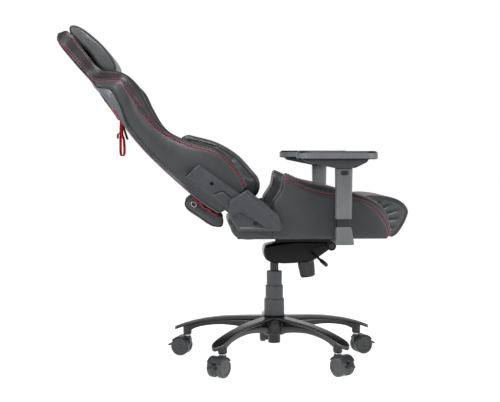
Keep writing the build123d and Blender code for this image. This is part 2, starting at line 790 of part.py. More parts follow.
with BuildPart() as recliner_shaft:
    with Locations((pivot_x, 0, pivot_z)):
        Cylinder(shaft_radius, 2 * (bracket_inner + slide_gap), rotation=(90, 0, 0))
    for side in (-1, 1):
        with Locations((pivot_x, side * (bracket_inner + slide_gap + shaft_head / 2), pivot_z)):
            Cylinder(shaft_radius + 5, shaft_head, rotation=(90, 0, 0))
recliner_shaft.part.label = "recliner_shaft"
export_step(recliner_shaft.part, "parts/recliner_shaft.step")

with BuildPart() as hinge_cover_right:
    with BuildSketch(side_view(-hinge_cover_inner)) as cover_side:
        with BuildLine():
            Polyline(
                (-158, 545), (-104, 579), (-45, 533), (-10, 501), (4, 465), (-6, hinge_cover_floor),
                (-131, hinge_cover_floor), (-153, 486), (-160, 508), close=True,
            )
        make_face()
    extrude(amount=hinge_cover_depth)
    chamfer(hinge_cover_right.faces().sort_by(Axis.Y)[0].edges(), hinge_cover_bevel)
    with BuildSketch(side_view(-hinge_cover_outer)) as face_pocket:
        with BuildLine():
            Polyline((-140, 530), (-104, 556), (-52, 514), (-62, 500), close=True)
        make_face()
        fillet(face_pocket.vertices(), 3)
    extrude(amount=-3, mode=Mode.SUBTRACT)
    with Locations((cover_screw_x, -hinge_cover_outer, cover_screw_z)):
        Cylinder(cover_screw_radius + 1, 2 * cover_screw_sink, rotation=(90, 0, 0), mode=Mode.SUBTRACT)
    with Locations((-122, -ear_outer, hinge_cover_floor)):
        Box(
            72, hinge_cover_inner - ear_outer, hinge_cover_leg_top - hinge_cover_floor,
            align=(Align.MIN, Align.MAX, Align.MIN),
        )
hinge_cover_right.part.label = "hinge_cover_right"
export_step(hinge_cover_right.part, "parts/hinge_cover_right.step")

with BuildPart() as hinge_cover_left:
    mirror(hinge_cover_right.part, about=Plane.XZ)
    with Locations((pivot_x, hinge_cover_outer, pivot_z)):
        Cylinder(
            lever_boss_radius + running_gap, 2 * lever_boss_depth, rotation=(90, 0, 0), mode=Mode.SUBTRACT,
        )
hinge_cover_left.part.label = "hinge_cover_left"
export_step(hinge_cover_left.part, "parts/hinge_cover_left.step")

with BuildPart() as cover_screws:
    for side in (-1, 1):
        with BuildSketch(side_view(side * (hinge_cover_outer - cover_screw_sink))) as screw_head:
            with Locations((cover_screw_x, cover_screw_z)):
                Circle(cover_screw_radius)
        extrude(amount=-side * cover_screw_head)
        socket_plane = side_view(side * (hinge_cover_outer - cover_screw_sink + cover_screw_head))
        with BuildSketch(socket_plane) as socket:
            with Locations((cover_screw_x, cover_screw_z)):
                RegularPolygon(cover_screw_radius / 2, 6)
        extrude(amount=side * 1.5, mode=Mode.SUBTRACT)
cover_screws.part.label = "cover_screws"
export_step(cover_screws.part, "parts/cover_screws.step")

with BuildPart() as recline_lever:
    with Locations((pivot_x, hinge_cover_outer + 2, pivot_z)):
        Cylinder(
            lever_boss_radius, lever_boss_depth + 2 - slide_gap, rotation=(90, 0, 0),
            align=(Align.CENTER, Align.CENTER, Align.MIN),
        )
    with BuildSketch(side_view(hinge_cover_outer + 1)) as lever_side:
        with BuildLine():
            Polyline(
                (pivot_x - 14, pivot_z + 8), (pivot_x + 8, pivot_z + 14), (pivot_x + 118, pivot_z + 34),
                (pivot_x + 122, pivot_z + 20), (pivot_x + 60, pivot_z - 4), (pivot_x + 4, pivot_z - 14),
                close=True,
            )
        make_face()
        fillet(lever_side.vertices(), 5)
    extrude(amount=-recline_lever_wall)
    fillet(recline_lever.faces().sort_by(Axis.Y)[-1].edges(), 2)
recline_lever.part.label = "recline_lever"
export_step(recline_lever.part, "parts/recline_lever.step")

# Back frame: a tube hoop with a flat arm on each side that turns on the shaft
arm_tilt = -11  # of the back arms under the back's own line

with BuildPart() as back_frame:
    for side in (-1, 1):
        with BuildLine(back_side(side * frame_half_width)) as rail:
            FilletPolyline((34, -24), (72, -46), (180, -60), (380, -73), (frame_top, -62), radius=12)
        with BuildSketch(Plane(origin=rail.line @ 0, z_dir=rail.line % 0)):
            Circle(frame_tube_radius)
        sweep(path=rail.line)
    with BuildSketch(back_side(0)) as cross_tubes:
        with Locations((34, -24)):
            Circle(frame_tube_radius + 2)
    extrude(amount=back_arm_inner, both=True)
    with BuildSketch(back_side(0)) as top_tube:
        with Locations((frame_top, -62)):
            Circle(frame_tube_radius)
    extrude(amount=frame_half_width + frame_tube_radius, both=True)
    for side in (-1, 1):
        with BuildSketch(back_side(side * (back_arm_inner + back_arm_wall / 2))) as back_arm:
            with Locations(Location((0, 0, 0), (0, 0, arm_tilt))):
                with Locations((back_arm_length / 2, 0)):
                    SlotCenterToCenter(back_arm_length, back_arm_width)
        extrude(amount=back_arm_wall / 2, both=True)
    with Locations((pivot_x, 0, pivot_z)):
        Cylinder(shaft_radius + running_gap, 2 * bracket_inner, rotation=(90, 0, 0), mode=Mode.SUBTRACT)
back_frame.part.label = "back_frame"
export_step(back_frame.part, "parts/back_frame.step")

with BuildPart() as back_bracket_right:
    with BuildSketch(side_view(-bracket_inner)) as bracket_side:
        with BuildLine():
            Polyline((-296, 612), (-252, 655), (-77, 522), (-115, 473), close=True)
        make_face()
        fillet(bracket_side.vertices().sort_by(Axis.X)[:2], 7)
        with Locations((pivot_x, pivot_z)):
            Circle(bracket_knuckle)
    extrude(amount=bracket_depth)
    chamfer(back_bracket_right.faces().sort_by(Axis.Y)[0].edges(), bracket_bevel)
    with BuildSketch(side_view(-bracket_outer)) as bracket_pocket:
        with BuildLine():
            Polyline((-262, 626), (-244, 635), (-172, 578), (-190, 566), close=True)
        make_face()
        fillet(bracket_pocket.vertices(), 3)
    extrude(amount=-4, mode=Mode.SUBTRACT)
    with Locations((pivot_x, -bracket_inner, pivot_z)):
        Cylinder(shaft_radius + 6, 2 * (shaft_head + 1), rotation=(90, 0, 0), mode=Mode.SUBTRACT)
back_bracket_right.part.label = "back_bracket_right"
export_step(back_bracket_right.part, "parts/back_bracket_right.step")

with BuildPart() as back_bracket_left:
    mirror(back_bracket_right.part, about=Plane.XZ)
back_bracket_left.part.label = "back_bracket_left"
export_step(back_bracket_left.part, "parts/back_bracket_left.step")

# Back upholstery, from the bottom up: distance along the back, half width of the middle, outer half width,
# rear face, and the bolster's foot, ridge and edge seam, all but the first two measured out of the front
bolster_rows = (
    (back_start, 150.6, 240, -64, 10, 50, 40),
    (110, 152, 243, -77, 16, 66, 57),
    (160, 155, 244, -85, 14, 71, 61),
    (215, 159, 243, -90, 2, 63, 50),
    (290, 163, 240, -95, -22, 20, 6),
    (380, 165, 242, -96, -38, -8, -22),
    (460, 160, 254, -90, -36, 8, -22),
    (525, 152, 266, -84, -28, 27, -4),
    (575, 146, 254, -79, -26, 18, -6),
    (610, 143.6, 212, -73, -27, -2, -30),
    (634, 142.6, 172, -69, -34, -26, -48),
)


def back_bolster_section(along, inner, outer, rear, foot, ridge, seam):
    """Cross section of the right side bolster: a crowned front from foot to seam and a bulging side panel."""
    with BuildSketch(back_cut(along)) as section:
        with BuildLine():
            Line((inner, rear), (inner, foot))
            ThreePointArc((inner, foot), (inner + 0.55 * (outer - inner), ridge), (outer - 3, seam))
            ThreePointArc((outer - 3, seam), (outer, (seam + rear) / 2), (outer - 10, rear + 4))
            Line((outer - 10, rear + 4), (inner, rear))
        make_face()
    return section.sketch.face()


with BuildPart() as back_bolster_right:
    loft([back_bolster_section(*row) for row in bolster_rows])
back_bolster_right.part.label = "back_bolster_right"
export_step(back_bolster_right.part, "parts/back_bolster_right.step")

with BuildPart() as back_bolster_left:
    mirror(back_bolster_right.part, about=Plane.XZ)
back_bolster_left.part.label = "back_bolster_left"
export_step(back_bolster_left.part, "parts/back_bolster_left.step")


def crowned_section(along, half, front, rear, front_crown, rear_crown):
    """Cross section of a panel of the back, bowed out at the front and the rear."""
    with BuildSketch(back_cut(along)) as section:
        with BuildLine():
            ThreePointArc((-half, front - front_crown), (0, front), (half, front - front_crown))
            Line((half, front - front_crown), (half, rear + rear_crown))
            ThreePointArc((half, rear + rear_crown), (0, rear), (-half, rear + rear_crown))
            Line((-half, rear + rear_crown), (-half, front - front_crown))
        make_face()
    return section.sketch.face()


# Front and rear face of the middle at the same heights as the bolsters' rows
middle_faces = (
    (0, -25), (8, -33), (9, -34), (2, -38), (-24, -50), (-42, -62), (-38, -55), (-30, -50), (-26, -54),
    (-24, -60), (-23, -66),
)
# Head part above it: distance along, half width, front face, rear face
head_rows = (
    (680, 144, -20, -67), (740, 138, -15, -64), (785, 128, -11, -58), (806, 114, -16, -52),
    (813, 100, -24, -46),
)
middle_rows = [(row[0], row[1] - soft_gap, *faces, 6, 1) for row, faces in zip(bolster_rows, middle_faces)]

with BuildPart() as back_pad:
    loft([crowned_section(*row) for row in middle_rows] + [crowned_section(*row, 6, 4) for row in head_rows])
back_pad.part.label = "back_pad"
export_step(back_pad.part, "parts/back_pad.step")

with BuildPart() as back_panel:
    panel_rows = [
        (row[0], row[1] - soft_gap, row[3] + panel_depth, row[3] - panel_crown) for row in bolster_rows[:-1]
    ]
    loft([crowned_section(*row, 0.5, panel_crown) for row in panel_rows])
back_panel.part.label = "back_panel"
export_step(back_panel.part, "parts/back_panel.step")


def cushion_section(y, corners, swells, shrink):
    """Side outline of a cushion: corners joined by arcs through the swells, drawn in towards its middle."""
    centre = sum((Vector(*point) for point in corners), Vector(0, 0)) * (1 / len(corners))
    corner = [centre + (Vector(*point) - centre) * shrink for point in corners]
    swell = [centre + (Vector(*point) - centre) * shrink for point in swells]
    with BuildSketch(back_side(y)) as section:
        with BuildLine():
            for number in range(len(corner)):
                ThreePointArc(corner[number], swell[number], corner[(number + 1) % len(corner)])
        make_face()
    return section.sketch.face()


def cushion_stations(half_width):
    """Distances across a cushion with how far its outline is drawn in there."""
    ends = ((half_width, 0.5), (half_width - 5, 0.68), (half_width - 18, 0.84), (half_width - 55, 0.96))
    return [(-y, shrink) for y, shrink in ends] + [(0, 1)] + [(y, shrink) for y, shrink in reversed(ends)]


pillow_corners = ((614, -12), (802, -8), (806, 16), (612, 20))
pillow_swells = ((710, -14), (813, 3), (700, 34), (603, 2))
lumbar_corners = ((306, -8), (50, 7), (34, 92), (314, 30))
lumbar_swells = ((190, 7.6), (14, 56), (150, 103), (324, 10))

with BuildPart() as head_pillow:
    stations = cushion_stations(pillow_half_width)
    loft([cushion_section(y, pillow_corners, pillow_swells, shrink) for y, shrink in stations])
head_pillow.part.label = "head_pillow"
export_step(head_pillow.part, "parts/head_pillow.step")

with BuildPart() as lumbar_cushion:
    stations = cushion_stations(lumbar_half_width)
    loft([cushion_section(y, lumbar_corners, lumbar_swells, shrink) for y, shrink in stations])
lumbar_cushion.part.label = "lumbar_cushion"
export_step(lumbar_cushion.part, "parts/lumbar_cushion.step")

pouch_corners = ((62, -68), (158, -90), (150, -138), (22, -108))
pouch_swells = ((110, -82), (165, -116), (88, -128), (22, -84))

with BuildPart() as rear_pouch:
    stations = cushion_stations(pouch_half_width)
    loft([cushion_section(y, pouch_corners, pouch_swells, shrink) for y, shrink in stations])
rear_pouch.part.label = "rear_pouch"
export_step(rear_pouch.part, "parts/rear_pouch.step")

# Webbing pull strap that hangs behind the shoulders from a fold on the rear panel, ending in a loop
below, above = bolster_rows[6], bolster_rows[7]
strap_share = (strap_along - below[0]) / (above[0] - below[0])
panel_rear = below[3] + strap_share * (above[3] - below[3]) - panel_crown
strap_out = panel_rear - strap_fold - slide_gap
strap_x = pivot_x + strap_along * up_x + strap_out * out_x
strap_z = pivot_z + strap_along * up_z + strap_out * out_z
print("strap fold at", round(strap_x, 2), round(strap_z, 2))

with BuildPart() as rear_strap:
    with BuildSketch(side_view(0)) as strap_side:
        with Locations((strap_x, strap_z)):
            Circle(strap_fold)
        with Locations((strap_x, strap_z)):
            Rectangle(strap_web, strap_drop, align=(Align.CENTER, Align.MAX))
        with Locations((strap_x + strap_loop_gap / 2, strap_z - strap_drop + strap_loop / 2)):
            SlotOverall(strap_loop, strap_loop_gap + 2 * strap_web, rotation=90)
        with Locations((strap_x + strap_loop_gap / 2, strap_z - strap_drop + strap_loop / 2)):
            SlotOverall(strap_loop - 2 * strap_web, strap_loop_gap, rotation=90, mode=Mode.SUBTRACT)
    extrude(amount=strap_width / 2, both=True)
rear_strap.part.label = "rear_strap"
export_step(rear_strap.part, "parts/rear_strap.step")

# Armrests, right side first: bar and tube post, sliding sleeve, button, turning carrier, sliding pad
foot_bottom = seat_bottom - arm_bar_height

with BuildPart() as arm_upright_right:
    with BuildSketch(side_view(-arm_post_y)) as foot_side:
        with BuildLine():
            Polyline(
                (arm_post_x - 25, foot_bottom), (arm_post_x + 32, foot_bottom), (arm_post_x + 23, foot_top),
                (arm_post_x - 22, foot_top), close=True,
            )
        make_face()
        fillet(foot_side.vertices(), 4)
    extrude(amount=foot_width / 2, both=True)
    fillet(arm_upright_right.faces().filter_by(Axis.Y).edges(), 3)
    with BuildSketch(Plane.XY.offset(seat_bottom)) as post_plan:
        with Locations((arm_post_x, -arm_post_y)):
            RectangleRounded(post_length, post_width, post_corner)
    extrude(amount=post_top - seat_bottom)
    with BuildSketch(Plane.XY.offset(post_top)) as post_hollow:
        with Locations((arm_post_x, -arm_post_y)):
            Rectangle(post_length - 2 * post_wall, post_width - 2 * post_wall)
    extrude(amount=foot_top - post_top, mode=Mode.SUBTRACT)
    with Locations((arm_post_x, -arm_bar_inner, foot_bottom)):
        Box(
            post_length, arm_post_y - arm_bar_inner, arm_bar_height,
            align=(Align.CENTER, Align.MAX, Align.MIN),
        )
arm_upright_right.part.label = "arm_upright_right"
export_step(arm_upright_right.part, "parts/arm_upright_right.step")

with BuildPart() as arm_sleeve_right:
    with BuildSketch(Plane.XY.offset(sleeve_bottom)) as sleeve_foot:
        with Locations((arm_post_x, -arm_post_y)):
            RectangleRounded(sleeve_length_bottom, sleeve_width_bottom, 7)
    with BuildSketch(Plane.XY.offset(sleeve_top)) as sleeve_head:
        with Locations((arm_post_x, -arm_post_y)):
            RectangleRounded(sleeve_length_top, sleeve_width_top, 8)
    loft()
    chamfer(arm_sleeve_right.faces().sort_by(Axis.Z)[-1].edges(), 1.5)
    with BuildSketch(Plane.XY.offset(sleeve_bottom)) as sleeve_bore:
        with Locations((arm_post_x, -arm_post_y)):
            RectangleRounded(post_length + 2 * slide_gap, post_width + 2 * slide_gap, post_corner)
    extrude(amount=sleeve_top - sleeve_bottom - sleeve_roof, mode=Mode.SUBTRACT)
    with Locations((arm_post_x, -arm_post_y, sleeve_top)):
        Cylinder(
            spigot_radius + running_gap, spigot_depth + 1,
            align=(Align.CENTER, Align.CENTER, Align.MAX), mode=Mode.SUBTRACT,
        )
    with BuildSketch(side_view(-arm_post_y - sleeve_width_top / 2)) as button_hole:
        with Locations((arm_post_x, button_z)):
            SlotOverall(button_length + 2 * button_gap, button_width + 2 * button_gap)
    extrude(amount=-button_depth, mode=Mode.SUBTRACT)
arm_sleeve_right.part.label = "arm_sleeve_right"
export_step(arm_sleeve_right.part, "parts/arm_sleeve_right.step")

with BuildPart() as arm_button_right:
    with BuildSketch(side_view(-arm_post_y - sleeve_width_top / 2 - button_proud)) as button_face:
        with Locations((arm_post_x, button_z)):
            SlotOverall(button_length, button_width)
    extrude(amount=-(button_depth + button_proud - button_travel - slide_gap))
    fillet(arm_button_right.faces().sort_by(Axis.Y)[0].edges(), 1.2)
arm_button_right.part.label = "arm_button_right"
export_step(arm_button_right.part, "parts/arm_button_right.step")

with BuildPart() as arm_carrier_right:
    with BuildSketch(side_view(-arm_post_y)) as carrier_side:
        with BuildLine():
            Polyline(
                (carrier_x - carrier_length / 2, carrier_top - rail_height),
                (carrier_x + carrier_length / 2, carrier_top - rail_height),
                (carrier_x + carrier_length / 2 - 6, carrier_top - rail_height - 9),
                (arm_post_x + 31, sleeve_top + slide_gap), (arm_post_x - 31, sleeve_top + slide_gap),
                (carrier_x - carrier_length / 2 + 8, carrier_top - rail_height - 8), close=True,
            )
        make_face()
    extrude(amount=carrier_width / 2, both=True)
    chamfer(arm_carrier_right.faces().filter_by(Axis.Y).edges(), 2)
    with Locations((carrier_x, -arm_post_y, carrier_top - rail_height)):
        Box(carrier_length - 20, rail_width, rail_height, align=(Align.CENTER, Align.CENTER, Align.MIN))
    with Locations((arm_post_x, -arm_post_y, sleeve_top + slide_gap)):
        Cylinder(spigot_radius, spigot_depth + slide_gap, align=(Align.CENTER, Align.CENTER, Align.MAX))
arm_carrier_right.part.label = "arm_carrier_right"
export_step(arm_carrier_right.part, "parts/arm_carrier_right.step")

rest_bottom = carrier_top - rail_height + slide_gap

with BuildPart() as arm_pad_right:
    with BuildSketch(Plane.XY.offset(rest_bottom)) as rest_plan:
        with BuildLine():
            flank = ThreePointArc(
                (rest_x - 80, rest_width / 2 - 3), (rest_x, rest_width / 2),
                (rest_x + 80, rest_width / 2 - 3),
            )
            ThreePointArc(flank @ 1, (rest_x + rest_length / 2, 0), (rest_x + 80, 3 - rest_width / 2))
            mirror(flank, about=Plane.XZ)
            ThreePointArc((rest_x - 80, 3 - rest_width / 2), (rest_x - rest_length / 2, 0), flank @ 0)
        make_face()
    extrude(amount=rest_thickness)
    chamfer(arm_pad_right.faces().sort_by(Axis.Z)[-1].edges(), 6)
    chamfer(arm_pad_right.faces().sort_by(Axis.Z)[0].edges(), 3)
    with Locations((carrier_x, 0, rest_bottom)):
        Box(
            carrier_length - 20 + 2 * rest_travel + 2, rail_width + 2 * slide_gap, rail_height,
            align=(Align.CENTER, Align.CENTER, Align.MIN), mode=Mode.SUBTRACT,
        )
arm_pad_right.part = arm_pad_right.part.moved(Location((0, -arm_post_y, 0)))
arm_pad_right.part.label = "arm_pad_right"
export_step(arm_pad_right.part, "parts/arm_pad_right.step")

right_arm = {
    "upright": arm_upright_right, "sleeve": arm_sleeve_right, "button": arm_button_right,
    "carrier": arm_carrier_right, "pad": arm_pad_right,
}

for name, piece in right_arm.items():
    with BuildPart() as left_piece:
        mirror(piece.part, about=Plane.XZ)
    left_piece.part.label = f"arm_{name}_left"
    export_step(left_piece.part, f"parts/arm_{name}_left.step")
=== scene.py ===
import math

import bpy
import numpy as np
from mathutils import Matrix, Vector


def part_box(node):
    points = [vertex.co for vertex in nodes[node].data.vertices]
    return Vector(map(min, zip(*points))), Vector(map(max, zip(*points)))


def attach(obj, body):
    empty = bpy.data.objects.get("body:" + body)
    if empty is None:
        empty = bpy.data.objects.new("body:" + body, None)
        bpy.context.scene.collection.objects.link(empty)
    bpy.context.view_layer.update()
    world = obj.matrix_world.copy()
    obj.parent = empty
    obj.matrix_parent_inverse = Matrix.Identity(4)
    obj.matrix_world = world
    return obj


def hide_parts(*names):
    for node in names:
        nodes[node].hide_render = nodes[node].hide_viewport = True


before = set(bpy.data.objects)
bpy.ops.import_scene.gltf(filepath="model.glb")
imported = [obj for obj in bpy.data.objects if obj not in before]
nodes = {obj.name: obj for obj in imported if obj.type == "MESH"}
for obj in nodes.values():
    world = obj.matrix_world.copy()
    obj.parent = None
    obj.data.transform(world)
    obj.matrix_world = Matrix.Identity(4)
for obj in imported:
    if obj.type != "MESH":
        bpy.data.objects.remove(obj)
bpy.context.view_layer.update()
scene = bpy.context.scene
print("stage: frame loaded", len(nodes), "nodes")


def linear(hexColour):
    # sRGB hex to the linear values that shaders take
    parts = np.array([int(hexColour[i:i + 2], 16) for i in (1, 3, 5)]) / 255
    parts = np.where(parts <= 0.04045, parts / 12.92, ((parts + 0.055) / 1.055) ** 2.4)
    return (*parts.tolist(), 1.0)


def through(knots, values, at):
    # cubic through the rows of values; the slope at a knot is that of its neighbours' parabola
    knots, values, at = np.asarray(knots, float), np.asarray(values, float), np.asarray(at, float)
    slopes = np.gradient(values, knots, axis=0)
    span = np.clip(np.searchsorted(knots, at, side="right") - 1, 0, len(knots) - 2)
    shape = (-1,) + (1,) * (values.ndim - 1)
    width = (knots[span + 1] - knots[span]).reshape(shape)
    t = ((at - knots[span]) / (knots[span + 1] - knots[span])).reshape(shape)
    return ((2 * t**3 - 3 * t**2 + 1) * values[span] + (t**3 - 2 * t**2 + t) * width * slopes[span]
            + (3 * t**2 - 2 * t**3) * values[span + 1] + (t**3 - t**2) * width * slopes[span + 1])


def chain(keys, stops, count):
    # smooth run through some of a section's key points, for every section at once, last point left out
    at = np.linspace(0, len(stops) - 1, count + 1)[:-1]
    return np.moveaxis(through(np.arange(len(stops)), np.moveaxis(keys[:, stops], 1, 0), at), 0, 1)


def lengths(path):
    # length run along a line of points up to each of them
    return np.concatenate([[0], np.cumsum(np.linalg.norm(np.diff(path, axis=0), axis=1))])


def sampled(at, knots, rows):
    # straight runs between the rows
    return np.stack([np.interp(at, knots, rows[:, k]) for k in range(rows.shape[1])], -1)


def joined(*parts):
    # coordinates of the same or a fitting shape set side by side as points
    return np.stack(np.broadcast_arrays(*parts), -1)


def fullTurn(count):
    return np.linspace(0, 2 * math.pi, count, endpoint=False)


def quarter(share):
    # quarter circle: 1 up to a share of 0, falling to 0 at a share of 1
    return np.sqrt(1 - np.clip(share, 0, 1) ** 2)


def outline(keys, count):
    # even points along the smooth line through the keys
    keys = np.asarray(keys, float)
    knots = lengths(keys)
    return through(knots, keys, np.linspace(0, knots[-1], count))


def closedLine(keys, count):
    # even points round a smooth closed line; the keys are laid three times over and the middle lap is kept
    keys = np.asarray(keys, float)
    laps = np.vstack([keys, keys, keys, keys[:1]])
    knots = lengths(laps)
    return through(knots, laps, np.linspace(knots[len(keys)], knots[2 * len(keys)], count + 1)[:-1])


def closedPolygon(keys, count, rounds):
    # even points round a polygon, its corners eased by repeated averaging
    keys = np.vstack([keys, keys[:1]]).astype(float)
    steps = lengths(keys)
    at = np.linspace(0, steps[-1], count + 1)[:-1]
    line = sampled(at, steps, keys)
    for _ in range(rounds):
        line = (np.roll(line, 1, 0) + 2 * line + np.roll(line, -1, 0)) / 4
    return line


def carriedAcross(flat, y):
    # x z rings set side by side at their places y across the chair
    return joined(flat[..., 0], y[:, None], flat[..., 1])


def unit(vectors):
    return vectors / np.maximum(np.linalg.norm(vectors, axis=-1, keepdims=True), 1e-9)


def inwardNormals(line):
    # normals of a closed x z line, turned to its middle
    ahead = unit(np.roll(line, -1, 0) - np.roll(line, 1, 0))
    normals = joined(ahead[:, 1], -ahead[:, 0])
    return normals * np.sign(np.sum(normals * (line.mean(0) - line)))


def roundedTurn(count, wideness, highness):
    # one turn round a rounded rectangle: cosine and sine drawn towards the corners by powers under 1
    turn = fullTurn(count)
    wide = np.sign(np.cos(turn)) * np.abs(np.cos(turn)) ** wideness
    return wide, np.sign(np.sin(turn)) * np.abs(np.sin(turn)) ** highness


def gridNormals(grid):
    # normal of a grid whose second axis closes on itself, turned away from each ring's middle
    around = np.roll(grid, -1, 1) - np.roll(grid, 1, 1)
    normals = unit(np.cross(np.gradient(grid, axis=0), around))
    outward = np.sum(normals * (grid - grid.mean(1, keepdims=True)))
    return normals if outward > 0 else -normals


def sewn(far, run, depth, width):
    # valley of a seam: a bell curve of the distance, with low gathers 19 mm apart that fade over 9 mm
    gather = 0.12 * np.sin(run * 2 * math.pi / 19 + 1.3 * np.sin(run / 31))
    return (depth * np.exp(-(far / width) ** 2) + gather * np.exp(-(far / 9) ** 2))[..., None]


def pressColumn(grid, column, depth, width):
    # seam along one column of a grid of rings
    steps = np.linalg.norm(np.roll(grid, -1, 1) - grid, axis=2)
    arc = np.cumsum(steps, 1) - steps
    far = arc - arc[:, column:column + 1]
    return grid - gridNormals(grid) * sewn(far, lengths(grid[:, column])[:, None], depth, width)


def pressRow(grid, row, depth, width):
    # seam along one ring
    steps = np.linalg.norm(np.diff(grid, axis=0), axis=2)
    arc = np.vstack([np.zeros((1, grid.shape[1])), np.cumsum(steps, 0)])
    far = arc - arc[row:row + 1]
    return grid - gridNormals(grid) * sewn(far, lengths(grid[row])[None], depth, width)


def signedVolume(points, faces):
    # six times the volume inside a closed shell, below zero where its faces point inwards
    volume = 0.0
    for part in faces:
        corners = points[part]
        for k in range(1, part.shape[1] - 1):
            volume += np.sum(corners[:, 0] * np.cross(corners[:, k], corners[:, k + 1]))
    return volume


def readRows(items, what):
    # three values of every vertex or face, as rows
    found = np.empty(len(items) * 3)
    items.foreach_get(what, found)
    return found.reshape(-1, 3)


def makeObject(name, points, faces, materials, index=None):
    # points in mm; faces are turned so that the closed body has a positive volume
    points = np.asarray(points, float)
    faces = [np.asarray(part) for part in faces if len(part)]
    inwards = signedVolume(points, faces) < 0
    flat = [face for part in faces for face in (part[:, ::-1] if inwards else part).tolist()]
    mesh = bpy.data.meshes.new(name)
    mesh.from_pydata((points * 0.001).tolist(), [], flat)
    mesh.polygons.foreach_set("use_smooth", np.ones(len(flat), bool))
    for material in materials:
        mesh.materials.append(material)
    if index is not None:
        mesh.polygons.foreach_set("material_index", np.asarray(index, np.int32))
    mesh.update()
    made = bpy.data.objects.new(name, mesh)
    scene.collection.objects.link(made)
    return made


def gridShell(grid, bands=0, wrap=False):
    # rings of a closed section joined by quads; the ends meet, or close by fans to each end ring's middle
    rings, count = grid.shape[:2]
    i, j = np.meshgrid(np.arange(rings if wrap else rings - 1), np.arange(count), indexing="ij")
    up, after = (i + 1) % rings, (j + 1) % count
    quads = joined(i * count + j, i * count + after, up * count + after, up * count + j)
    quads = quads.reshape(-1, 4)
    points = grid.reshape(-1, 3)
    bands = np.broadcast_to(bands, i.shape)
    fans, index = np.zeros((0, 3), int), bands.ravel()
    if not wrap:
        points = np.vstack([points, grid[0].mean(0), grid[-1].mean(0)])
        ring, last = np.arange(count), (rings - 1) * count
        first = joined((ring + 1) % count, ring, len(points) - 2)
        final = joined(last + ring, last + (ring + 1) % count, len(points) - 1)
        fans = np.vstack([first, final])
        index = np.concatenate([index, bands[0], bands[-1]])
    if signedVolume(points, [quads, fans]) < 0:
        quads, fans = quads[:, ::-1], fans[:, ::-1]
    return points, quads, fans, index


def joinShells(name, shells, materials):
    # several closed shells in one mesh
    start = np.cumsum([0] + [len(shell[0]) for shell in shells])
    points = np.vstack([shell[0] for shell in shells])
    quads = np.vstack([shell[1] + at for shell, at in zip(shells, start)])
    fans = np.vstack([shell[2] + at for shell, at in zip(shells, start)])
    index = np.concatenate([shell[3][:len(shell[1])] for shell in shells]
                           + [shell[3][len(shell[1]):] for shell in shells])
    return makeObject(name, points, [quads, fans], materials, index)


def gridObject(name, grid, materials, bands=0):
    return joinShells(name, [gridShell(grid, bands)], materials)


def place(made, body, replaced=()):
    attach(made, body)
    if replaced:
        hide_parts(*replaced)
    return made


def tube(name, path, radius, material, sides=8):
    # round profile carried along a path, framed by the path's own direction and the chair's width
    path = np.asarray(path, float)
    ahead = unit(np.gradient(path, axis=0))
    side = unit(np.cross(ahead, np.array([0.0, 0.9, 0.44])))
    up = np.cross(side, ahead)
    turn = fullTurn(sides)
    grid = (path[:, None] + radius * (np.cos(turn)[None, :, None] * side[:, None]
                                      + np.sin(turn)[None, :, None] * up[:, None]))
    return gridObject(name, grid, [material])


def ribbon(name, path, sideways, width, thick, material):
    # flat strap: a rounded rectangle carried along a path, its broad side along sideways
    path = np.asarray(path, float)
    ahead = unit(np.gradient(path, axis=0))
    side = np.broadcast_to(unit(np.asarray(sideways, float)), path.shape)
    out = unit(np.cross(ahead, side))
    wide, deep = roundedTurn(24, 0.35, 0.6)
    grid = (path[:, None] + wide[None, :, None] * width / 2 * side[:, None]
            + deep[None, :, None] * thick / 2 * out[:, None])
    return gridObject(name, grid, [material])


def stitchRows(name, runs, material, long=8.0, gap=0.9, thick=1.05):
    # lockstitch: short capsules along each run, their ends dipping into the cover
    points, quads, first = [], [], 0
    reach = np.array([-1, -0.8, -0.4, 0, 0.4, 0.8, 1]) * long / 2
    swell = np.array([0.2, 0.75, 0.95, 1, 0.95, 0.75, 0.2]) * thick
    height = np.array([-1.0, -0.2, 0.35, 0.5, 0.35, -0.2, -1.0]) * thick
    rings, sides = len(reach), 6
    turn = fullTurn(sides)
    for path, normals in runs:
        steps = lengths(path)
        at = np.arange(long / 2, steps[-1] - long / 2, long + gap)
        centre = sampled(at, steps, path)
        up = unit(sampled(at, steps, normals))
        ahead = unit(sampled(at + 2, steps, path) - sampled(at - 2, steps, path))
        side = unit(np.cross(ahead, up))
        body = (centre[:, None, None] + ahead[:, None, None] * reach[None, :, None, None]
                + up[:, None, None] * (height[:, None] + swell[:, None] * np.sin(turn))[None, :, :, None]
                + side[:, None, None] * (swell[:, None] * np.cos(turn))[None, :, :, None])
        s, i, j = np.meshgrid(np.arange(len(at)), np.arange(rings - 1), np.arange(sides), indexing="ij")
        start, beyond = first + (s * rings + i) * sides, (j + 1) % sides
        corners = joined(start + j, start + beyond, start + sides + beyond, start + sides + j)
        quads.append(corners.reshape(-1, 4))
        points.append(body.reshape(-1, 3))
        first += len(at) * rings * sides
    return makeObject(name, np.vstack(points), [np.vstack(quads)], [material])


def seamRuns(sheet, normals, column, rows, offsets):
    # runs on the cover beside a seam column, each a given arc length to one side of it
    runs = []
    pick = np.arange(len(sheet))
    for offset in offsets:
        lane = column + (1 if offset > 0 else -1) * np.arange(7)
        steps = np.linalg.norm(np.diff(sheet[:, lane], axis=1), axis=2)
        arc = np.concatenate([np.zeros((len(sheet), 1)), np.cumsum(steps, 1)], 1)
        k = np.clip((arc < abs(offset)).sum(1) - 1, 0, 5)
        share = np.clip((abs(offset) - arc[pick, k]) / np.maximum(steps[pick, k], 1e-9), 0, 1)[:, None]
        near, after = lane[k], lane[k + 1]
        path = sheet[pick, near] * (1 - share) + sheet[pick, after] * share
        runs.append((path[rows], normals[pick, near][rows]))
    return runs


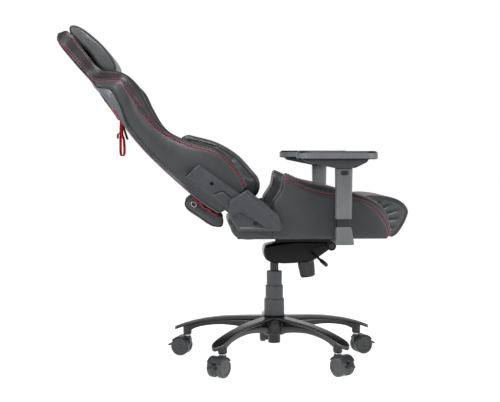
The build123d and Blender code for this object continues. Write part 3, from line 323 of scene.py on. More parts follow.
def sew(name, grid, seams, rows, body, turned=False):
    # stitches on a cover beside its seams, each seam given by its column, or ring if turned, and its offsets
    normals = gridNormals(grid)
    if turned:
        grid, normals = np.swapaxes(grid, 0, 1), np.swapaxes(normals, 0, 1)
    runs = []
    for column, offsets in seams:
        runs += seamRuns(grid, normals, column, rows, offsets)
    place(stitchRows(name, runs, thread), body)


def addNode(tree, kind, inputs=None, **settings):
    node = tree.nodes.new(kind)
    for key, value in settings.items():
        setattr(node, key, value)
    for key, value in (inputs or {}).items():
        if isinstance(value, bpy.types.NodeSocket):
            tree.links.new(value, node.inputs[key])
        else:
            node.inputs[key].default_value = value
    return node


def finish(name, dark, light, rough, grain, relief, pattern="noise", metal=0.0, edge=0.0, patch=90.0,
           shine=0.4):
    # a soft cloud of about patch mm mixes dark and light; grain and relief, mm, make the fine surface
    made = bpy.data.materials.new(name)
    made.use_nodes = True
    tree = made.node_tree
    shader = tree.nodes["Principled BSDF"]
    where = addNode(tree, "ShaderNodeTexCoord").outputs["Object"]
    cloud = addNode(tree, "ShaderNodeTexNoise", {"Vector": where, "Scale": 1000 / patch, "Detail": 3.0})
    span = {"Value": cloud.outputs["Fac"], "From Min": 0.3, "From Max": 0.7}
    tone = addNode(tree, "ShaderNodeMapRange", span)
    colour = addNode(tree, "ShaderNodeMix", {"Factor": tone.outputs["Result"]}, data_type="RGBA")
    colour.inputs[6].default_value = linear(dark)
    colour.inputs[7].default_value = linear(light)
    gloss = addNode(tree, "ShaderNodeMapRange", {**span, "To Min": rough - 0.04, "To Max": rough + 0.05})
    if pattern == "pebble":
        cells = {"Vector": where, "Scale": 1000 / grain}
        height = addNode(tree, "ShaderNodeTexVoronoi", cells, feature="SMOOTH_F1").outputs["Distance"]
    elif pattern == "weave":
        # a wave is 314 mm long at scale 1
        ribs = {"Vector": where, "Scale": 314 / grain, "Distortion": 0.6}
        warp = addNode(tree, "ShaderNodeTexWave", ribs, bands_direction="Y").outputs["Fac"]
        weft = addNode(tree, "ShaderNodeTexWave", ribs, bands_direction="Z").outputs["Fac"]
        height = addNode(tree, "ShaderNodeMath", {0: warp, 1: weft}, operation="MAXIMUM").outputs["Value"]
    else:
        fine = addNode(tree, "ShaderNodeTexNoise", {"Vector": where, "Scale": 1000 / grain, "Detail": 2.0})
        height = fine.outputs["Fac"]
    bump = addNode(tree, "ShaderNodeBump", {"Height": height, "Strength": 0.4, "Distance": relief * 0.001})
    if edge:
        rounded = addNode(tree, "ShaderNodeBevel", {"Radius": edge * 0.001}, samples=4)
        tree.links.new(rounded.outputs["Normal"], bump.inputs["Normal"])
    tree.links.new(colour.outputs[2], shader.inputs["Base Color"])
    tree.links.new(gloss.outputs["Result"], shader.inputs["Roughness"])
    tree.links.new(bump.outputs["Normal"], shader.inputs["Normal"])
    shader.inputs["Metallic"].default_value = metal
    shader.inputs["Specular IOR Level"].default_value = shine
    return made


# embossed coated leather: soft wide sheen over a pebble grain
leather = finish("coatedLeatherEmbossed", "#2b2d2f", "#343638", 0.44, 1.6, 0.06, "pebble")
# smoother, darker coated leather of the panels that are sat on
leatherFront = finish("coatedLeatherCalendered", "#191a1b", "#1f2022", 0.42, 1.4, 0.02, "pebble",
                      shine=0.35)
# the same leather painted paler over the rear puffs: a painted highlight where light falls on them
leatherPuffPaintedHighlight = finish("coatedLeatherPaintedHighlight", "#515457", "#5b5e61", 0.38, 1.6, 0.03, "pebble")
# the same leather round the loose cushions, painted paler as a painted highlight along their swelling; it
# also covers the seat cushion's end panels
leatherPaintedLit = finish("coatedLeatherPaintedLit", "#3e4042", "#47494b", 0.4, 1.6, 0.02, "pebble")
# polyester lockstitch thread in the seams, a muted crimson
thread = finish("polyesterThreadTwisted", "#783445", "#86404f", 0.6, 0.6, 0.1)
# sewn-in piping along the lower rear edge
piping = finish("pipingCoatedCrimson", "#6a2230", "#7c2c3b", 0.45, 1.2, 0.05)
# woven polyester webbing with ribs across it
webbing = finish("webbingWovenRed", "#b80e25", "#cf1a30", 0.7, 1.8, 0.4, "weave", patch=30.0)
# black woven bag cloth
bagCloth = finish("polyesterClothWoven", "#434446", "#4e4f51", 0.75, 1.6, 0.3, "weave", patch=30.0)
# pressed black felt, dull, of the welts and the strap's tail; the same black is painted into the cover holes
# as painted shade
blackClothAndHoleShade = finish("polypropyleneFeltAndPaintedHoleShade", "#131314", "#1a1a1b", 0.85, 1.0, 0.2)
# spark-eroded nylon of the star base, edges catching the light
baseNylon = finish("glassNylonMoulded", "#121314", "#191a1c", 0.24, 0.8, 0.02, edge=3.0, shine=0.4)
# the arms' tops painted darker as painted shade, and the rim round them painted paler as a painted highlight
# where it catches the light
baseTopPaintedShade = finish("glassNylonPaintedShadeTop", "#0b0b0c", "#101112", 0.2, 0.8, 0.01, shine=0.3)
baseRimPaintedHighlight = finish("glassNylonPaintedHighlightRim", "#3c3e40", "#47494b", 0.26, 0.8, 0.02)
# satin moulded covers of the gas lift
coverPlastic = finish("polypropyleneCoverMoulded", "#3c3e41", "#444649", 0.36, 0.7, 0.02, edge=1.2)
# gloss black powder coat on the casting and plate
glossPaint = finish("powderCoatGlossBlack", "#050506", "#08080a", 0.22, 1.5, 0.02, edge=3.0, shine=0.16)
# ribbed knob, gloss moulded
knobPlastic = finish("absGlossMoulded", "#0f0f10", "#171718", 0.22, 1.0, 0.02, edge=0.8)
# textured grey trim of the recliner
trimPlastic = finish("absTrimTextured", "#2f3134", "#383a3d", 0.4, 0.9, 0.03, edge=1.8)
# grey painted arm sleeves
sleevePaint = finish("sleevePaintSatin", "#5e6062", "#68696b", 0.34, 0.9, 0.02, edge=1.4)
# black painted tubes
tubePaint = finish("tubePaintSatinBlack", "#161617", "#1d1d1e", 0.34, 1.0, 0.02, edge=1.2)
# self-skinned polyurethane of the arm pads
padSkin = finish("polyurethaneSkinMoulded", "#0f1011", "#151617", 0.3, 1.0, 0.03, edge=1.5, shine=0.3)
# its sides, painted paler as painted light
padSidePaintedLight = finish("polyurethanePaintedLightSide", "#5a5c5e", "#64666a", 0.36, 1.0, 0.03, edge=1.5)
# moulded caster hoods and pedals, and their paler wheels
casterNylon = finish("casterNylonMoulded", "#262829", "#2e3031", 0.34, 0.8, 0.03, edge=1.2)
wheelNylon = finish("wheelNylonMoulded", "#3a3c3d", "#434546", 0.38, 0.8, 0.03, edge=1.2)
# ground and plated steel, the only mirror-like metal
brightSteel = finish("steelGroundPlated", "#a8aaac", "#bcbec0", 0.24, 0.5, 0.01, metal=1.0)
# plywood pan under black felt
panFelt = finish("panFeltBlack", "#171718", "#1e1e1f", 0.85, 1.2, 0.15)

# each node takes the finish of the longest name that it starts with
finishes = {
    "star_base": baseNylon, "caster_stems": brightSteel, "caster_hood": casterNylon,
    "caster_wheels": wheelNylon, "caster_brake": casterNylon,
    "lift_outer_tube": tubePaint, "lift_thrust_bearing": brightSteel, "lift_piston_rod": brightSteel,
    "lift_cylinder": tubePaint, "cover_": coverPlastic, "cover_screws": tubePaint,
    "tilt_housing": glossPaint, "tilt_spring": tubePaint, "tilt_pivot_pin": tubePaint,
    "tension_knob": knobPlastic, "lift_lever": tubePaint, "seat_plate": glossPaint, "seat_pan": panFelt,
    "recliner_shaft": tubePaint, "hinge_cover": trimPlastic, "back_bracket": trimPlastic,
    "recline_lever": knobPlastic, "back_frame": tubePaint,
    "arm_upright": tubePaint, "arm_sleeve": sleevePaint, "arm_button": knobPlastic,
    "arm_carrier": trimPlastic, "arm_pad": padSkin,
}
for nodeName, node in nodes.items():
    match = max((key for key in finishes if nodeName.startswith(key)), key=len, default=None)
    node.data.materials.clear()
    node.data.materials.append(finishes[match] if match else leather)
# grey foot under a black post, and a black top on an arm pad rim painted paler as painted light
# footTop is in m above the floor; the rim is where normals have less of an upright share than steepest
footTop, steepest = 0.4665, 0.3
for sideName in ("right", "left"):
    mesh = nodes["arm_upright_" + sideName].data
    mesh.materials.append(sleevePaint)
    foot = readRows(mesh.polygons, "center")[:, 2] < footTop
    mesh.polygons.foreach_set("material_index", foot.astype(np.int32))
    mesh = nodes["arm_pad_" + sideName].data
    mesh.materials.append(padSidePaintedLight)
    # the pad's steep faces get the paler finish as painted light
    rim = np.abs(readRows(mesh.polygons, "normal")[:, 2]) < steepest
    mesh.polygons.foreach_set("material_index", rim.astype(np.int32))
print("stage: materials", len(bpy.data.materials))

# names of the chair's two sides and their signs in y, and the offsets in mm of a seam's twin stitches
bothSides = (("Right", -1), ("Left", 1))
twin = (-4.2, 4.2)


# star base, mm: arms as flanges on a web; radius, top, thickness, half width and foot of the web
base = {
    "arms": 5, "first": 18, "root": 30, "tip": 349, "round": 29, "web": 7,
    "stem": 305, "neck": (70, 106), "bore": 5.7,
    "rows": np.array([[30, 148, 13, 23, 90], [100, 145, 12, 21, 104], [190, 138, 11, 20, 110],
                      [264, 125, 11, 21, 98], [310, 112, 12, 23, 80], [349, 97, 13, 22, 84]]),
    "hub": [(22.6, 86), (35, 86), (43, 98), (47, 122), (44, 140), (41, 149), (36, 152), (22.6, 152)],
}


def spun(profile, centre):
    # closed radius and height profile turned round an upright axis
    line = closedPolygon(profile, 48, 1)
    turn = fullTurn(72)[:, None]
    return joined(centre[0] + line[:, 0] * np.cos(turn), centre[1] + line[:, 0] * np.sin(turn), line[:, 1])


def armShells(angle):
    # flange: a rounded rectangle along the arm, drawn to a round tip; web: a plain rectangle under it
    bend, low, high, bore = base["round"], *base["neck"], base["bore"]
    start = base["tip"] - bend
    tip = start + bend * np.sin(np.linspace(0.05, 1, 16) * math.pi / 2)
    r = np.concatenate([np.linspace(base["root"], start, 50), tip])
    top, thick, half, foot = through(base["rows"][:, 0], base["rows"][:, 1:], r).T
    half = half * np.maximum(quarter((r - start) / (bend + 0.2)), 0.05)
    middle = top - thick / 2
    wide, tall = roundedTurn(56, 0.4, 0.5)
    flange = joined(r[:, None], half[:, None] * wide, middle[:, None] + thick[:, None] / 2 * tall)
    # band 1, the top, is painted darker as painted shade; band 2, the top's edges, painted paler as a
    # painted highlight
    bands = np.where(tall > 0.3, np.where(np.abs(wide) < 0.86, 1, 2), 0)
    inner = r < start - 2
    heights = joined(foot, foot, middle, middle)[inner]
    side = np.array([-1, 1, 1, -1]) * base["web"]
    web = joined(r[inner][:, None], side, heights)
    c, s = math.cos(angle), math.sin(angle)
    turnBy = np.array([[c, s, 0], [-s, c, 0], [0, 0, 1]])
    socket = [(bore, low), (13, low), (14.5, low + 4), (15, high), (bore, high)]
    socket = spun(socket, base["stem"] * turnBy[0, :2])
    return [gridShell(flange @ turnBy, bands), gridShell(web @ turnBy), gridShell(socket, wrap=True)]


shells = [gridShell(spun(base["hub"], (0, 0)), wrap=True)]
for k in range(base["arms"]):
    shells += armShells(math.radians(base["first"] + 360 / base["arms"] * k))
place(joinShells("starBase", shells, [baseNylon, baseTopPaintedShade, baseRimPaintedHighlight]), "base", ["star_base"])
print("stage: star base")


# recliner axis in x z and how far the back leans from upright
hinge = {"x": -93, "z": 501, "lean": math.radians(44)}
along = np.array([-math.sin(hinge["lean"]), math.cos(hinge["lean"])])
across = np.array([math.cos(hinge["lean"]), math.sin(hinge["lean"])])


def backPoint(u, v, n):
    # u up the back from the hinge, v across the chair, n out of its front
    x = hinge["x"] + u * along[0] + n * across[0]
    z = hinge["z"] + u * along[1] + n * across[1]
    return joined(x, v, z)


# side bolster from seat to head; v outwards and n forwards, mm, at each height u:
# u, inner v, foot n, ridge v n, inner seam v n, outer seam v n, side v, rear seam v n, rear v n
wing = {
    "rows": np.array([
        [60, 150.6, 10, 195, 50, 222, 49, 237, 40, 240, 236, -56, 228, -64],
        [110, 152, 16, 198, 66, 226, 64, 240, 58, 243, 238, -69, 231, -77],
        [160, 155, 14, 200, 71, 227, 70, 241, 63, 244, 239, -77, 232, -85],
        [215, 159, 2, 202, 63, 226, 61, 240, 52, 243, 238, -82, 231, -90],
        [290, 163, -22, 203, 20, 223, 17, 234, 6, 245, 230, -87, 224, -95],
        [380, 165, -38, 207, -8, 226, -10, 236, -22, 248, 231, -88, 225, -96],
        [460, 160, -36, 211, 8, 238, -3, 248, -20, 259, 244, -77, 236, -88.5],
        [525, 152, -28, 214, 27, 246, 14, 263, -7, 266, 260, -50, 246, -78.5],
        [575, 146, -26, 205, 20, 236, 20, 251, -3, 254, 248, -43, 232, -72],
        [610, 138, -27, 176, 2, 196, 2, 210, -38, 211, 206, -66, 192, -73],
        [634, 128, -30, 148, -20, 160, -18, 169, -56, 170, 166, -64, 158, -69],
        [660, 118, -26, 134, -24, 145, -25, 149, -57, 149.5, 147, -63, 142, -68],
        [700, 112, -22, 130, -21, 141, -22, 143.5, -55.5, 144.5, 142, -62, 136, -67],
        [740, 110, -18, 126, -16, 136, -18, 138, -54, 139, 137, -60, 131, -64],
        [793, 101, -13, 117, -11.5, 126, -13, 129, -50, 130, 127, -54.5, 122, -58.5],
        [812, 92, -16, 105, -15, 113.5, -17, 117, -47, 118, 115, -50, 110, -53],
        [822, 86, -21, 95, -20.5, 102, -22, 106, -44, 107, 104, -46, 99, -49],
    ]),
    "foot": 60, "top": 822, "footRound": 9, "topRound": 14, "slices": 190,
    "runs": (6, 36, 18, 10, 10), "puff": (5, -3),
    "seams": {"inner": 30, "outer": 42, "rear": 60, "edge": 70},
    "press": {"inner": (1.6, 4.0), "outer": (2.6, 5.0), "rear": (3.6, 5.0)},
    "stitched": slice(6, 184), "welted": slice(96, 160), "piped": slice(4, 112),
}


def closedEnds(section, u):
    # sections drawn to their middle by a quarter round at the foot and the top
    foot = quarter(1 - (u - wing["foot"]) / wing["footRound"])
    top = quarter(1 - (wing["top"] - u) / wing["topRound"])
    centre = section.mean(1, keepdims=True)
    return centre + (section - centre) * np.maximum(foot * top, 0.02)[:, None, None]


def wingGrid(side):
    # each section runs inner wall, front roll over ridge and both seams, side panel, rear puff, rear face
    t = np.linspace(0, 1, wing["slices"])
    u = wing["foot"] + (wing["top"] - wing["foot"]) * (0.75 * t + 0.25 * (0.5 - 0.5 * np.cos(math.pi * t)))
    rows = through(wing["rows"][:, 0], wing["rows"][:, 1:], u)
    vPuff, nPuff = wing["puff"]
    (vIn, nFoot, vRidge, nRidge, vInner, nInner, vOuter, nOuter, vSide, vSeam, nSeam, vRear, nRear) = rows.T
    keys = np.stack([
        joined(vIn, nRear), joined(vIn, nFoot), joined(vRidge, nRidge),
        joined(vInner, nInner), joined(vOuter, nOuter),
        joined(vSide, (nOuter + nSeam) / 2), joined(vSeam, nSeam),
        joined((vSeam + vRear) / 2 + vPuff, (nSeam + nRear) / 2 + nPuff), joined(vRear, nRear),
    ], 1)
    stops = ([0, 1], [1, 2, 3, 4], [4, 5, 6], [6, 7, 8], [8, 0])
    section = np.concatenate([chain(keys, ends, count) for ends, count in zip(stops, wing["runs"])], 1)
    section = closedEnds(section, u)
    grid = backPoint(u[:, None], side * section[..., 0], section[..., 1])
    for seam, press in wing["press"].items():
        grid = pressColumn(grid, wing["seams"][seam], *press)
    return grid


# middle of the back: height u, front n and rear n
backMiddle = {
    "rows": np.array([
        [60, 0, -64], [110, 8, -77], [160, 9, -85], [215, 2, -88], [290, -24, -92], [380, -42, -92],
        [460, -38, -87.5], [525, -30, -83], [575, -27, -79], [610, -26, -73], [660, -26, -68],
        [700, -22, -67], [740, -19, -64], [793, -18, -58.5], [812, -21, -53], [822, -26, -49],
    ]),
    "slices": 160, "lap": 1.5, "dish": 6, "crown": 1.5,
}


def middleGrid():
    # front: shallow dish between the bolsters; rear: low crown out of the back
    u = np.linspace(wing["foot"], wing["top"], backMiddle["slices"])
    rows = through(wing["rows"][:, 0], wing["rows"][:, 1:], u)
    half = rows[:, 0] + backMiddle["lap"]
    front, nRear = through(backMiddle["rows"][:, 0], backMiddle["rows"][:, 1:], u).T
    t = np.linspace(-1, 1, 48)
    face = joined(half[:, None] * t, front[:, None] - backMiddle["dish"] * t**4)
    rear = joined(half[:, None] * -t, nRear[:, None] - backMiddle["crown"] * (1 - t**2))
    section = closedEnds(np.concatenate([face, rear], 1), u)
    return backPoint(u[:, None], section[..., 0], section[..., 1])


wingBands = np.zeros(sum(wing["runs"]), int)
wingBands[wing["runs"][0]:wing["seams"]["outer"]] = 1
# the rear puff, from the rear seam to the edge, takes the leather painted paler as a painted highlight
wingBands[wing["seams"]["rear"]:wing["seams"]["edge"]] = 2
for sideName, side in bothSides:
    grid = wingGrid(side)
    made = gridObject("backBolster" + sideName, grid, [leather, leatherFront, leatherPuffPaintedHighlight], wingBands)
    place(made, "backrest", ["back_bolster_" + sideName.lower()])
    seams = [(wing["seams"]["outer"], twin), (wing["seams"]["inner"], (4.0,))]
    sew("backStitches" + sideName, grid, seams, wing["stitched"], "backrest")
    welt = grid[wing["welted"], wing["seams"]["rear"]]
    place(tube("backWelt" + sideName, welt, 1.5, blackClothAndHoleShade), "backrest")
    edge = grid[wing["piped"], wing["seams"]["edge"] - 2]
    place(tube("backPiping" + sideName, edge, 2.2, piping), "backrest")
made = gridObject("backMiddle", middleGrid(), [leatherFront])
place(made, "backrest", ["back_pad", "back_panel"])
print("stage: back")


# seat cushion: side outline over the top, its underside, and end panels made of rings of the outline, with
# each ring's share of its size, depth of pleats and depth of dish
seat = {
    "top": [(-66, 437), (-66, 494), (30, 499), (120, 512), (200, 531), (255, 549), (300, 555), (333, 553),
            (364, 548), (389, 538), (407, 523), (416, 505), (411, 483), (396, 453), (375, 427), (364, 421)],
    "under": (360, -60), "heel": ([335, 350], [437, 423]), "points": (96, 24),
    "half": 168, "flat": 150, "inset": 10, "middle": (260, 470), "pleats": 23, "pleatedFrom": 300,
    "shrink": np.array([0.985, 0.96, 0.92, 0.87, 0.8, 0.7, 0.55, 0.35, 0.12]),
    "fold": 9.0 * np.array([0, 0.05, 0.2, 0.5, 0.85, 1, 1, 0.5, 0]),
    "dish": np.array([0.3, 0.5, 0.6, 0.8, 1, 1.4, 1.8, 2, 2]),
    "seams": (26, 53), "press": (1.8, 3.5), "stitched": slice(12, 94), "welted": slice(40, 96),
}


def seatGrid():
    # the side outline carried across, drawn in by a quarter ellipse at each side, then a gathered end panel
    above, under = seat["points"]
    half, flat = seat["half"], seat["flat"]
    x = np.linspace(*seat["under"], under)
    loop = np.concatenate([outline(seat["top"], above), joined(x, np.interp(x, *seat["heel"]))])
    inward = inwardNormals(loop) * (np.arange(len(loop)) < above)[:, None]
    y = np.concatenate([np.linspace(-half, -flat, 14)[:-1], np.linspace(-flat, flat, 36),
                        np.linspace(flat, half, 14)[1:]])
    inset = seat["inset"] * (1 - quarter((np.abs(y) - flat) / (half - flat)))
    grid = carriedAcross(loop + inward * inset[:, None, None], y)
    x, z = seat["middle"]
    turn = np.arctan2(loop[:, 1] - z, loop[:, 0] - x)
    pleat = (0.5 + 0.5 * np.sin(seat["pleats"] * turn)) ** 2 * (loop[:, 0] > seat["pleatedFrom"])
    ends = []
    for side, ring in ((-1, grid[0]), (1, grid[-1])):
        spot = np.array([x, side * half, z], float)
        panel = spot + (ring - spot) * seat["shrink"][:, None, None]
        panel[..., 1] = side * (half - seat["dish"][:, None] - pleat * seat["fold"][:, None])
        ends.append(panel)
    grid = np.concatenate([ends[0][::-1], grid, ends[1]])
    for row in (len(ends[0]), *seat["seams"], len(grid) - len(ends[1]) - 1):
        grid = pressRow(grid, row, *seat["press"])
    return grid


grid = seatGrid()
caps = len(seat["shrink"])
bands = np.zeros((len(grid) - 1, 1), int)
# the end panels take the leather painted paler, as painted light
bands[:caps] = bands[-caps:] = 1
seatCushion = gridObject("seatCushion", grid, [leatherFront, leatherPaintedLit], bands)
for sideName, row in (("Right", caps), ("Left", len(grid) - caps - 1)):
    place(tube("seatWelt" + sideName, grid[row, seat["welted"]], 1.6, leather), "seat")
seams = [(row, twin) for row in seat["seams"]]
sew("seatCushionStitches", grid, seams, seat["stitched"], "seat", turned=True)
place(seatCushion, "seat", ["seat_pad"])

# seat bolster: side outline over its ridge and, point for point, along the outer seam
bolster = {
    "ridge": [(-29, 425), (-29, 480), (-25, 534), (-10, 561), (1.5, 581), (7, 605), (15, 627), (49, 614),
              (91, 600), (138, 590), (168, 583), (205, 574), (239, 564), (269, 554), (299, 539), (323, 518),
              (338, 490), (343, 463), (342, 440), (331, 425)],
    "seam": [(-29, 425), (-28, 480), (-22, 534), (-7, 558), (4, 578), (7, 598), (13, 615), (37, 602),
             (78, 581), (128, 566), (165, 560), (202, 554), (236, 547), (262, 537), (287, 519), (308, 498),
             (324, 473), (331, 452), (331, 436), (325, 425)],
    "inner": 168.8, "crest": 224, "outer": 261, "under": (320, -25), "floor": 425.0,
    "rows": {"ridge": 18, "seam": 33}, "press": (2.0, 4.5), "stitched": slice(26, 108),
}


def bolsterGrid(side):
    # across: a quarter ellipse up from the inner edge to the ridge and another down to the outer seam, then
    # the side panel; the inner edge is closed by a flat wall
    inner, crest, outer = bolster["inner"], bolster["crest"], bolster["outer"]
    knots = np.arange(len(bolster["ridge"]))
    t = np.linspace(0, knots[-1], 110)
    under = joined(np.linspace(*bolster["under"], 26), np.full(26, bolster["floor"]))
    ridge, seam = (np.concatenate([through(knots, bolster[key], t), under]) for key in ("ridge", "seam"))
    y = np.concatenate([np.linspace(inner, crest, 16)[:-1],
                        crest + (outer - crest) * np.sin(np.linspace(0, math.pi / 2, 16))])
    rise, fall = (crest - y) / (crest - inner), (y - crest) / (outer - crest)
    weight = np.where(y < crest, 1.9 * (1 - quarter(rise)), 1 - quarter(fall))
    grid = carriedAcross(ridge + (seam - ridge) * weight[:, None, None], y)
    spot = np.array([130.0, 0, 490.0])
    panel = spot + (grid[-1] - spot) * np.array([0.985, 0.96, 0.9, 0.75, 0.5, 0.2])[:, None, None]
    panel[..., 1] = outer + np.array([0.8, 1.4, 2.2, 2.6, 2.8, 2.8])[:, None]
    wall = spot + (grid[0] - spot) * np.array([0.2, 0.6, 0.9])[:, None, None]
    wall[..., 1] = inner
    grid = pressRow(np.concatenate([wall, grid, panel]), bolster["rows"]["seam"], *bolster["press"])
    grid[..., 1] *= side
    return grid


for sideName, side in bothSides:
    grid = bolsterGrid(side)
    made = gridObject("seatBolster" + sideName, grid, [leather])
    place(made, "seat", ["seat_bolster_" + sideName.lower()])
    seams = [(bolster["rows"]["seam"], twin), (bolster["rows"]["ridge"], (0.1,))]
    sew("seatStitches" + sideName, grid, seams, bolster["stitched"], "seat", turned=True)

# lower skirt that wraps the pan behind the bolsters: side outline x z, its front closed by a straight wall
skirt = {
    "line": [(-25, 461), (-153, 461), (-152, 452), (-147, 443), (-138, 433), (-121, 426.5), (-70, 425),
             (-25, 425)],
    "front": -25.0, "middle": np.array([-85.0, 443.0]), "half": 262, "round": 10, "flat": 240,
}
line = np.concatenate([outline(skirt["line"], 60),
                       joined(np.full(8, skirt["front"]), np.linspace(429, 457, 8))])
bend = skirt["half"] - skirt["round"] * (1 - np.cos(np.linspace(math.pi / 2, 0, 8)))
y = np.concatenate([-bend[::-1], np.linspace(-skirt["flat"], skirt["flat"], 12), bend])
scale = 0.9 + 0.1 * quarter((np.abs(y) - skirt["half"] + skirt["round"]) / (skirt["round"] + 0.5))
grid = carriedAcross(skirt["middle"] + (line - skirt["middle"]) * scale[:, None, None], y)
place(gridObject("seatSkirt", grid, [leather]), "seat")
print("stage: seat")

# recliner covers: outline x z; facets as two ends, width and drop, holes as centre and radius
covers = {
    "hingeCover": {
        "node": "hinge_cover_", "body": "seat", "deep": 18, "bevel": 5, "middle": (-85, 505),
        "line": [(-158, 545), (-104, 579), (-45, 533), (-10, 501), (4, 465), (-6, 452), (-131, 452),
                 (-153, 486), (-160, 508)],
        "panel": [(-36, 461), (-129, 461), (-151, 498), (-128, 512), (-117, 510), (-99, 498)],
        "sink": 6, "wall": 5, "hole": (-78, 477, 5.5), "groove": None,
        "facets": [((-104, 579), (4, 465), 16, 5)],
    },
    "bracketCover": {
        "node": "back_bracket_", "body": "backrest", "deep": 18, "bevel": 4, "middle": (-190, 565),
        "line": [(-296, 612), (-252, 655), (-72, 528), (-60, 508), (-62, 486), (-75, 472), (-95, 467),
                 (-118, 474)],
        "panel": None, "hole": (-212, 597, 5), "groove": [(-203, 565), (-181, 573), (-150, 552)],
        "facets": [((-118, 474), (-296, 612), 15, 6), ((-252, 655), (-72, 528), 9, 4)],
    },
}
# depths and width of what is sunk into the covers' faces
sunk = {"groove": 4, "grooveWidth": 3, "hole": 7}


def beside(point, start, end):
    # distance of points to the right of the line from start to end
    way = np.subtract(end, start) / np.linalg.norm(np.subtract(end, start))
    return (point[..., 0] - start[0]) * way[1] - (point[..., 1] - start[1]) * way[0]


def coverRelief(shape, at):
    # depth of the face under its highest plane: facets along edges, a sunk panel, a hole and a groove
    depth = np.zeros(at.shape[:-1])
    for start, end, wide, drop in shape["facets"]:
        depth = np.maximum(depth, drop * np.clip(1 - np.abs(beside(at, start, end)) / wide, 0, 1))
    if shape["panel"]:
        corners = shape["panel"]
        inside = np.min([beside(at, a, b) for a, b in zip(corners, corners[1:] + corners[:1])], axis=0)
        depth = np.maximum(depth, shape["sink"] * np.clip(inside / shape["wall"], 0, 1))
    if shape["groove"]:
        line = outline(shape["groove"], 40)
        near = np.min(np.linalg.norm(at[..., None, :] - line, axis=-1), axis=-1)
        depth += sunk["groove"] * np.exp(-(near / sunk["grooveWidth"]) ** 2)
    x, z, radius = shape["hole"]
    return depth + sunk["hole"] * np.clip(radius + 0.5 - np.linalg.norm(at - (x, z), axis=-1), 0, 1)


def coverGrid(shape, side, outer):
    # walls up to the bevel, the bevel, then rings of the outline drawn to the middle over the face
    line = closedPolygon(shape["line"], 300, 6)
    centre = np.array(shape["middle"], float)
    face = line + inwardNormals(line) * shape["bevel"]
    shrink = np.linspace(1, 0.02, 64)[:, None, None]
    rim = np.stack([line, line, line + 0.3 * (face - line)])
    rings = np.concatenate([rim, centre + (face - centre) * shrink])
    edge = outer - shape["bevel"]
    rimDepth = np.array([outer - shape["deep"], edge, edge + 0.7 * shape["bevel"]])
    depth = np.concatenate([np.repeat(rimDepth[:, None], len(line), 1),
                            outer - coverRelief(shape, rings[len(rim):])])
    return joined(rings[..., 0], side * depth, rings[..., 1])


for name, shape in covers.items():
    for sideName, side in bothSides:
        nodeName = shape["node"] + sideName.lower()
        outer = max(abs(corner[1]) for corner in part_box(nodeName)) * 1000
        grid = coverGrid(shape, side, outer)
        x, z, radius = shape["hole"]
        # the hole and the face within 0.6 mm of it get the black: painted shade in the hole
        bands = np.linalg.norm(grid[:-1, :, [0, 2]] - (x, z), axis=-1) < radius + 0.6
        bands[:3] = False  # the rim
        made = gridObject(name + sideName, grid, [trimPlastic, blackClothAndHoleShade], bands.astype(int))
        place(made, shape["body"], [nodeName])
print("stage: recliner covers")

# gloss casting under the seat: side outline x z, carried across and rounded in at both sides
housing = {
    "line": [(-34, 386), (-39, 370), (-38, 352), (-31, 338), (-14, 329), (30, 325), (66, 326.3),
             (130, 336.2), (155, 354), (188, 377), (203, 391), (202, 402), (62, 402), (-10, 392)],
    "half": 52, "round": 16, "draw": 9,
}


def housingGrid():
    # outline moved in along its normals by a quarter ellipse towards each side
    line = closedPolygon(housing["line"], 220, 8)
    bend = housing["half"] - housing["round"] * (1 - np.sin(np.linspace(0, math.pi / 2, 12)))
    y = np.concatenate([-bend[::-1], bend])
    share = (np.abs(y) - housing["half"] + housing["round"]) / housing["round"]
    drawn = housing["draw"] * (1 - quarter(share))
    return carriedAcross(line + inwardNormals(line) * drawn[:, None, None], y)


place(gridObject("housingShell", housingGrid(), [glossPaint]), "lift", ["tilt_housing"])

# tension knob: depth under the housing floor and radius, with flutes that fade at both ends
knob = {
    "top": (104, 0, 332.2), "lean": 8.8, "flutes": 14, "cut": 1.6,
    "rows": np.array([[0.5, 26], [2, 27.5], [6, 28], [12, 28], [30, 26.6], [48, 25], [53, 23.6],
                      [55.4, 20.5], [56.2, 15]]),
}
depth = np.concatenate([np.linspace(0.5, 12, 12), np.linspace(14, 48, 18), np.linspace(49, 56.2, 16)])
radius = through(knob["rows"][:, 0], knob["rows"][:, 1], depth)
turn = fullTurn(168)
fade = np.clip((depth - 8) / 5, 0, 1) * np.clip((54 - depth) / 4, 0, 1)
ring = radius[:, None] - knob["cut"] * fade[:, None] * (0.5 - 0.5 * np.cos(knob["flutes"] * turn)) ** 6
lean = math.radians(knob["lean"])
down = np.array([math.sin(lean), 0, -math.cos(lean)])
level = np.array([math.cos(lean), 0, math.sin(lean)])
grid = (np.array(knob["top"]) + depth[:, None, None] * down + (ring * np.cos(turn))[..., None] * level
        + (ring * np.sin(turn))[..., None] * np.array([0, 1, 0]))
place(gridObject("tensionKnob", grid, [knobPlastic]), "knob", ["tension_knob"])

# arm sleeves: cups over the post; height, half length and half width of the outside, then the bore
sleeve = {
    "rows": np.array([[491, 25.4, 16], [500, 25, 16.4], [540, 24.8, 17.3], [600, 25.4, 18.9],
                      [640, 26.2, 19.9], [645, 26.3, 20]]),
    "bore": (20.3, 11.3), "roof": 633, "foot": 491, "top": 645, "x": 186, "y": 310,
    "footEdge": 0.8, "topEdge": 1.5,
}


def sleeveGrid(side):
    # rounded rectangles: down the bore from its roof, out under the foot and up the outside to the top
    foot, top, edge = sleeve["foot"], sleeve["top"], sleeve["topEdge"]
    z = np.concatenate([[sleeve["roof"], foot + 0.4], np.linspace(foot, top - edge, 40), [top]])
    half = through(sleeve["rows"][:, 0], sleeve["rows"][:, 1:], z)
    half[:2] = sleeve["bore"]
    half[2] -= sleeve["footEdge"]
    half[-1] -= edge
    wide, deep = roundedTurn(96, 0.5, 0.5)
    x, y = sleeve["x"] + half[:, :1] * wide, side * sleeve["y"] + half[:, 1:] * deep
    return joined(x, y, z[:, None])


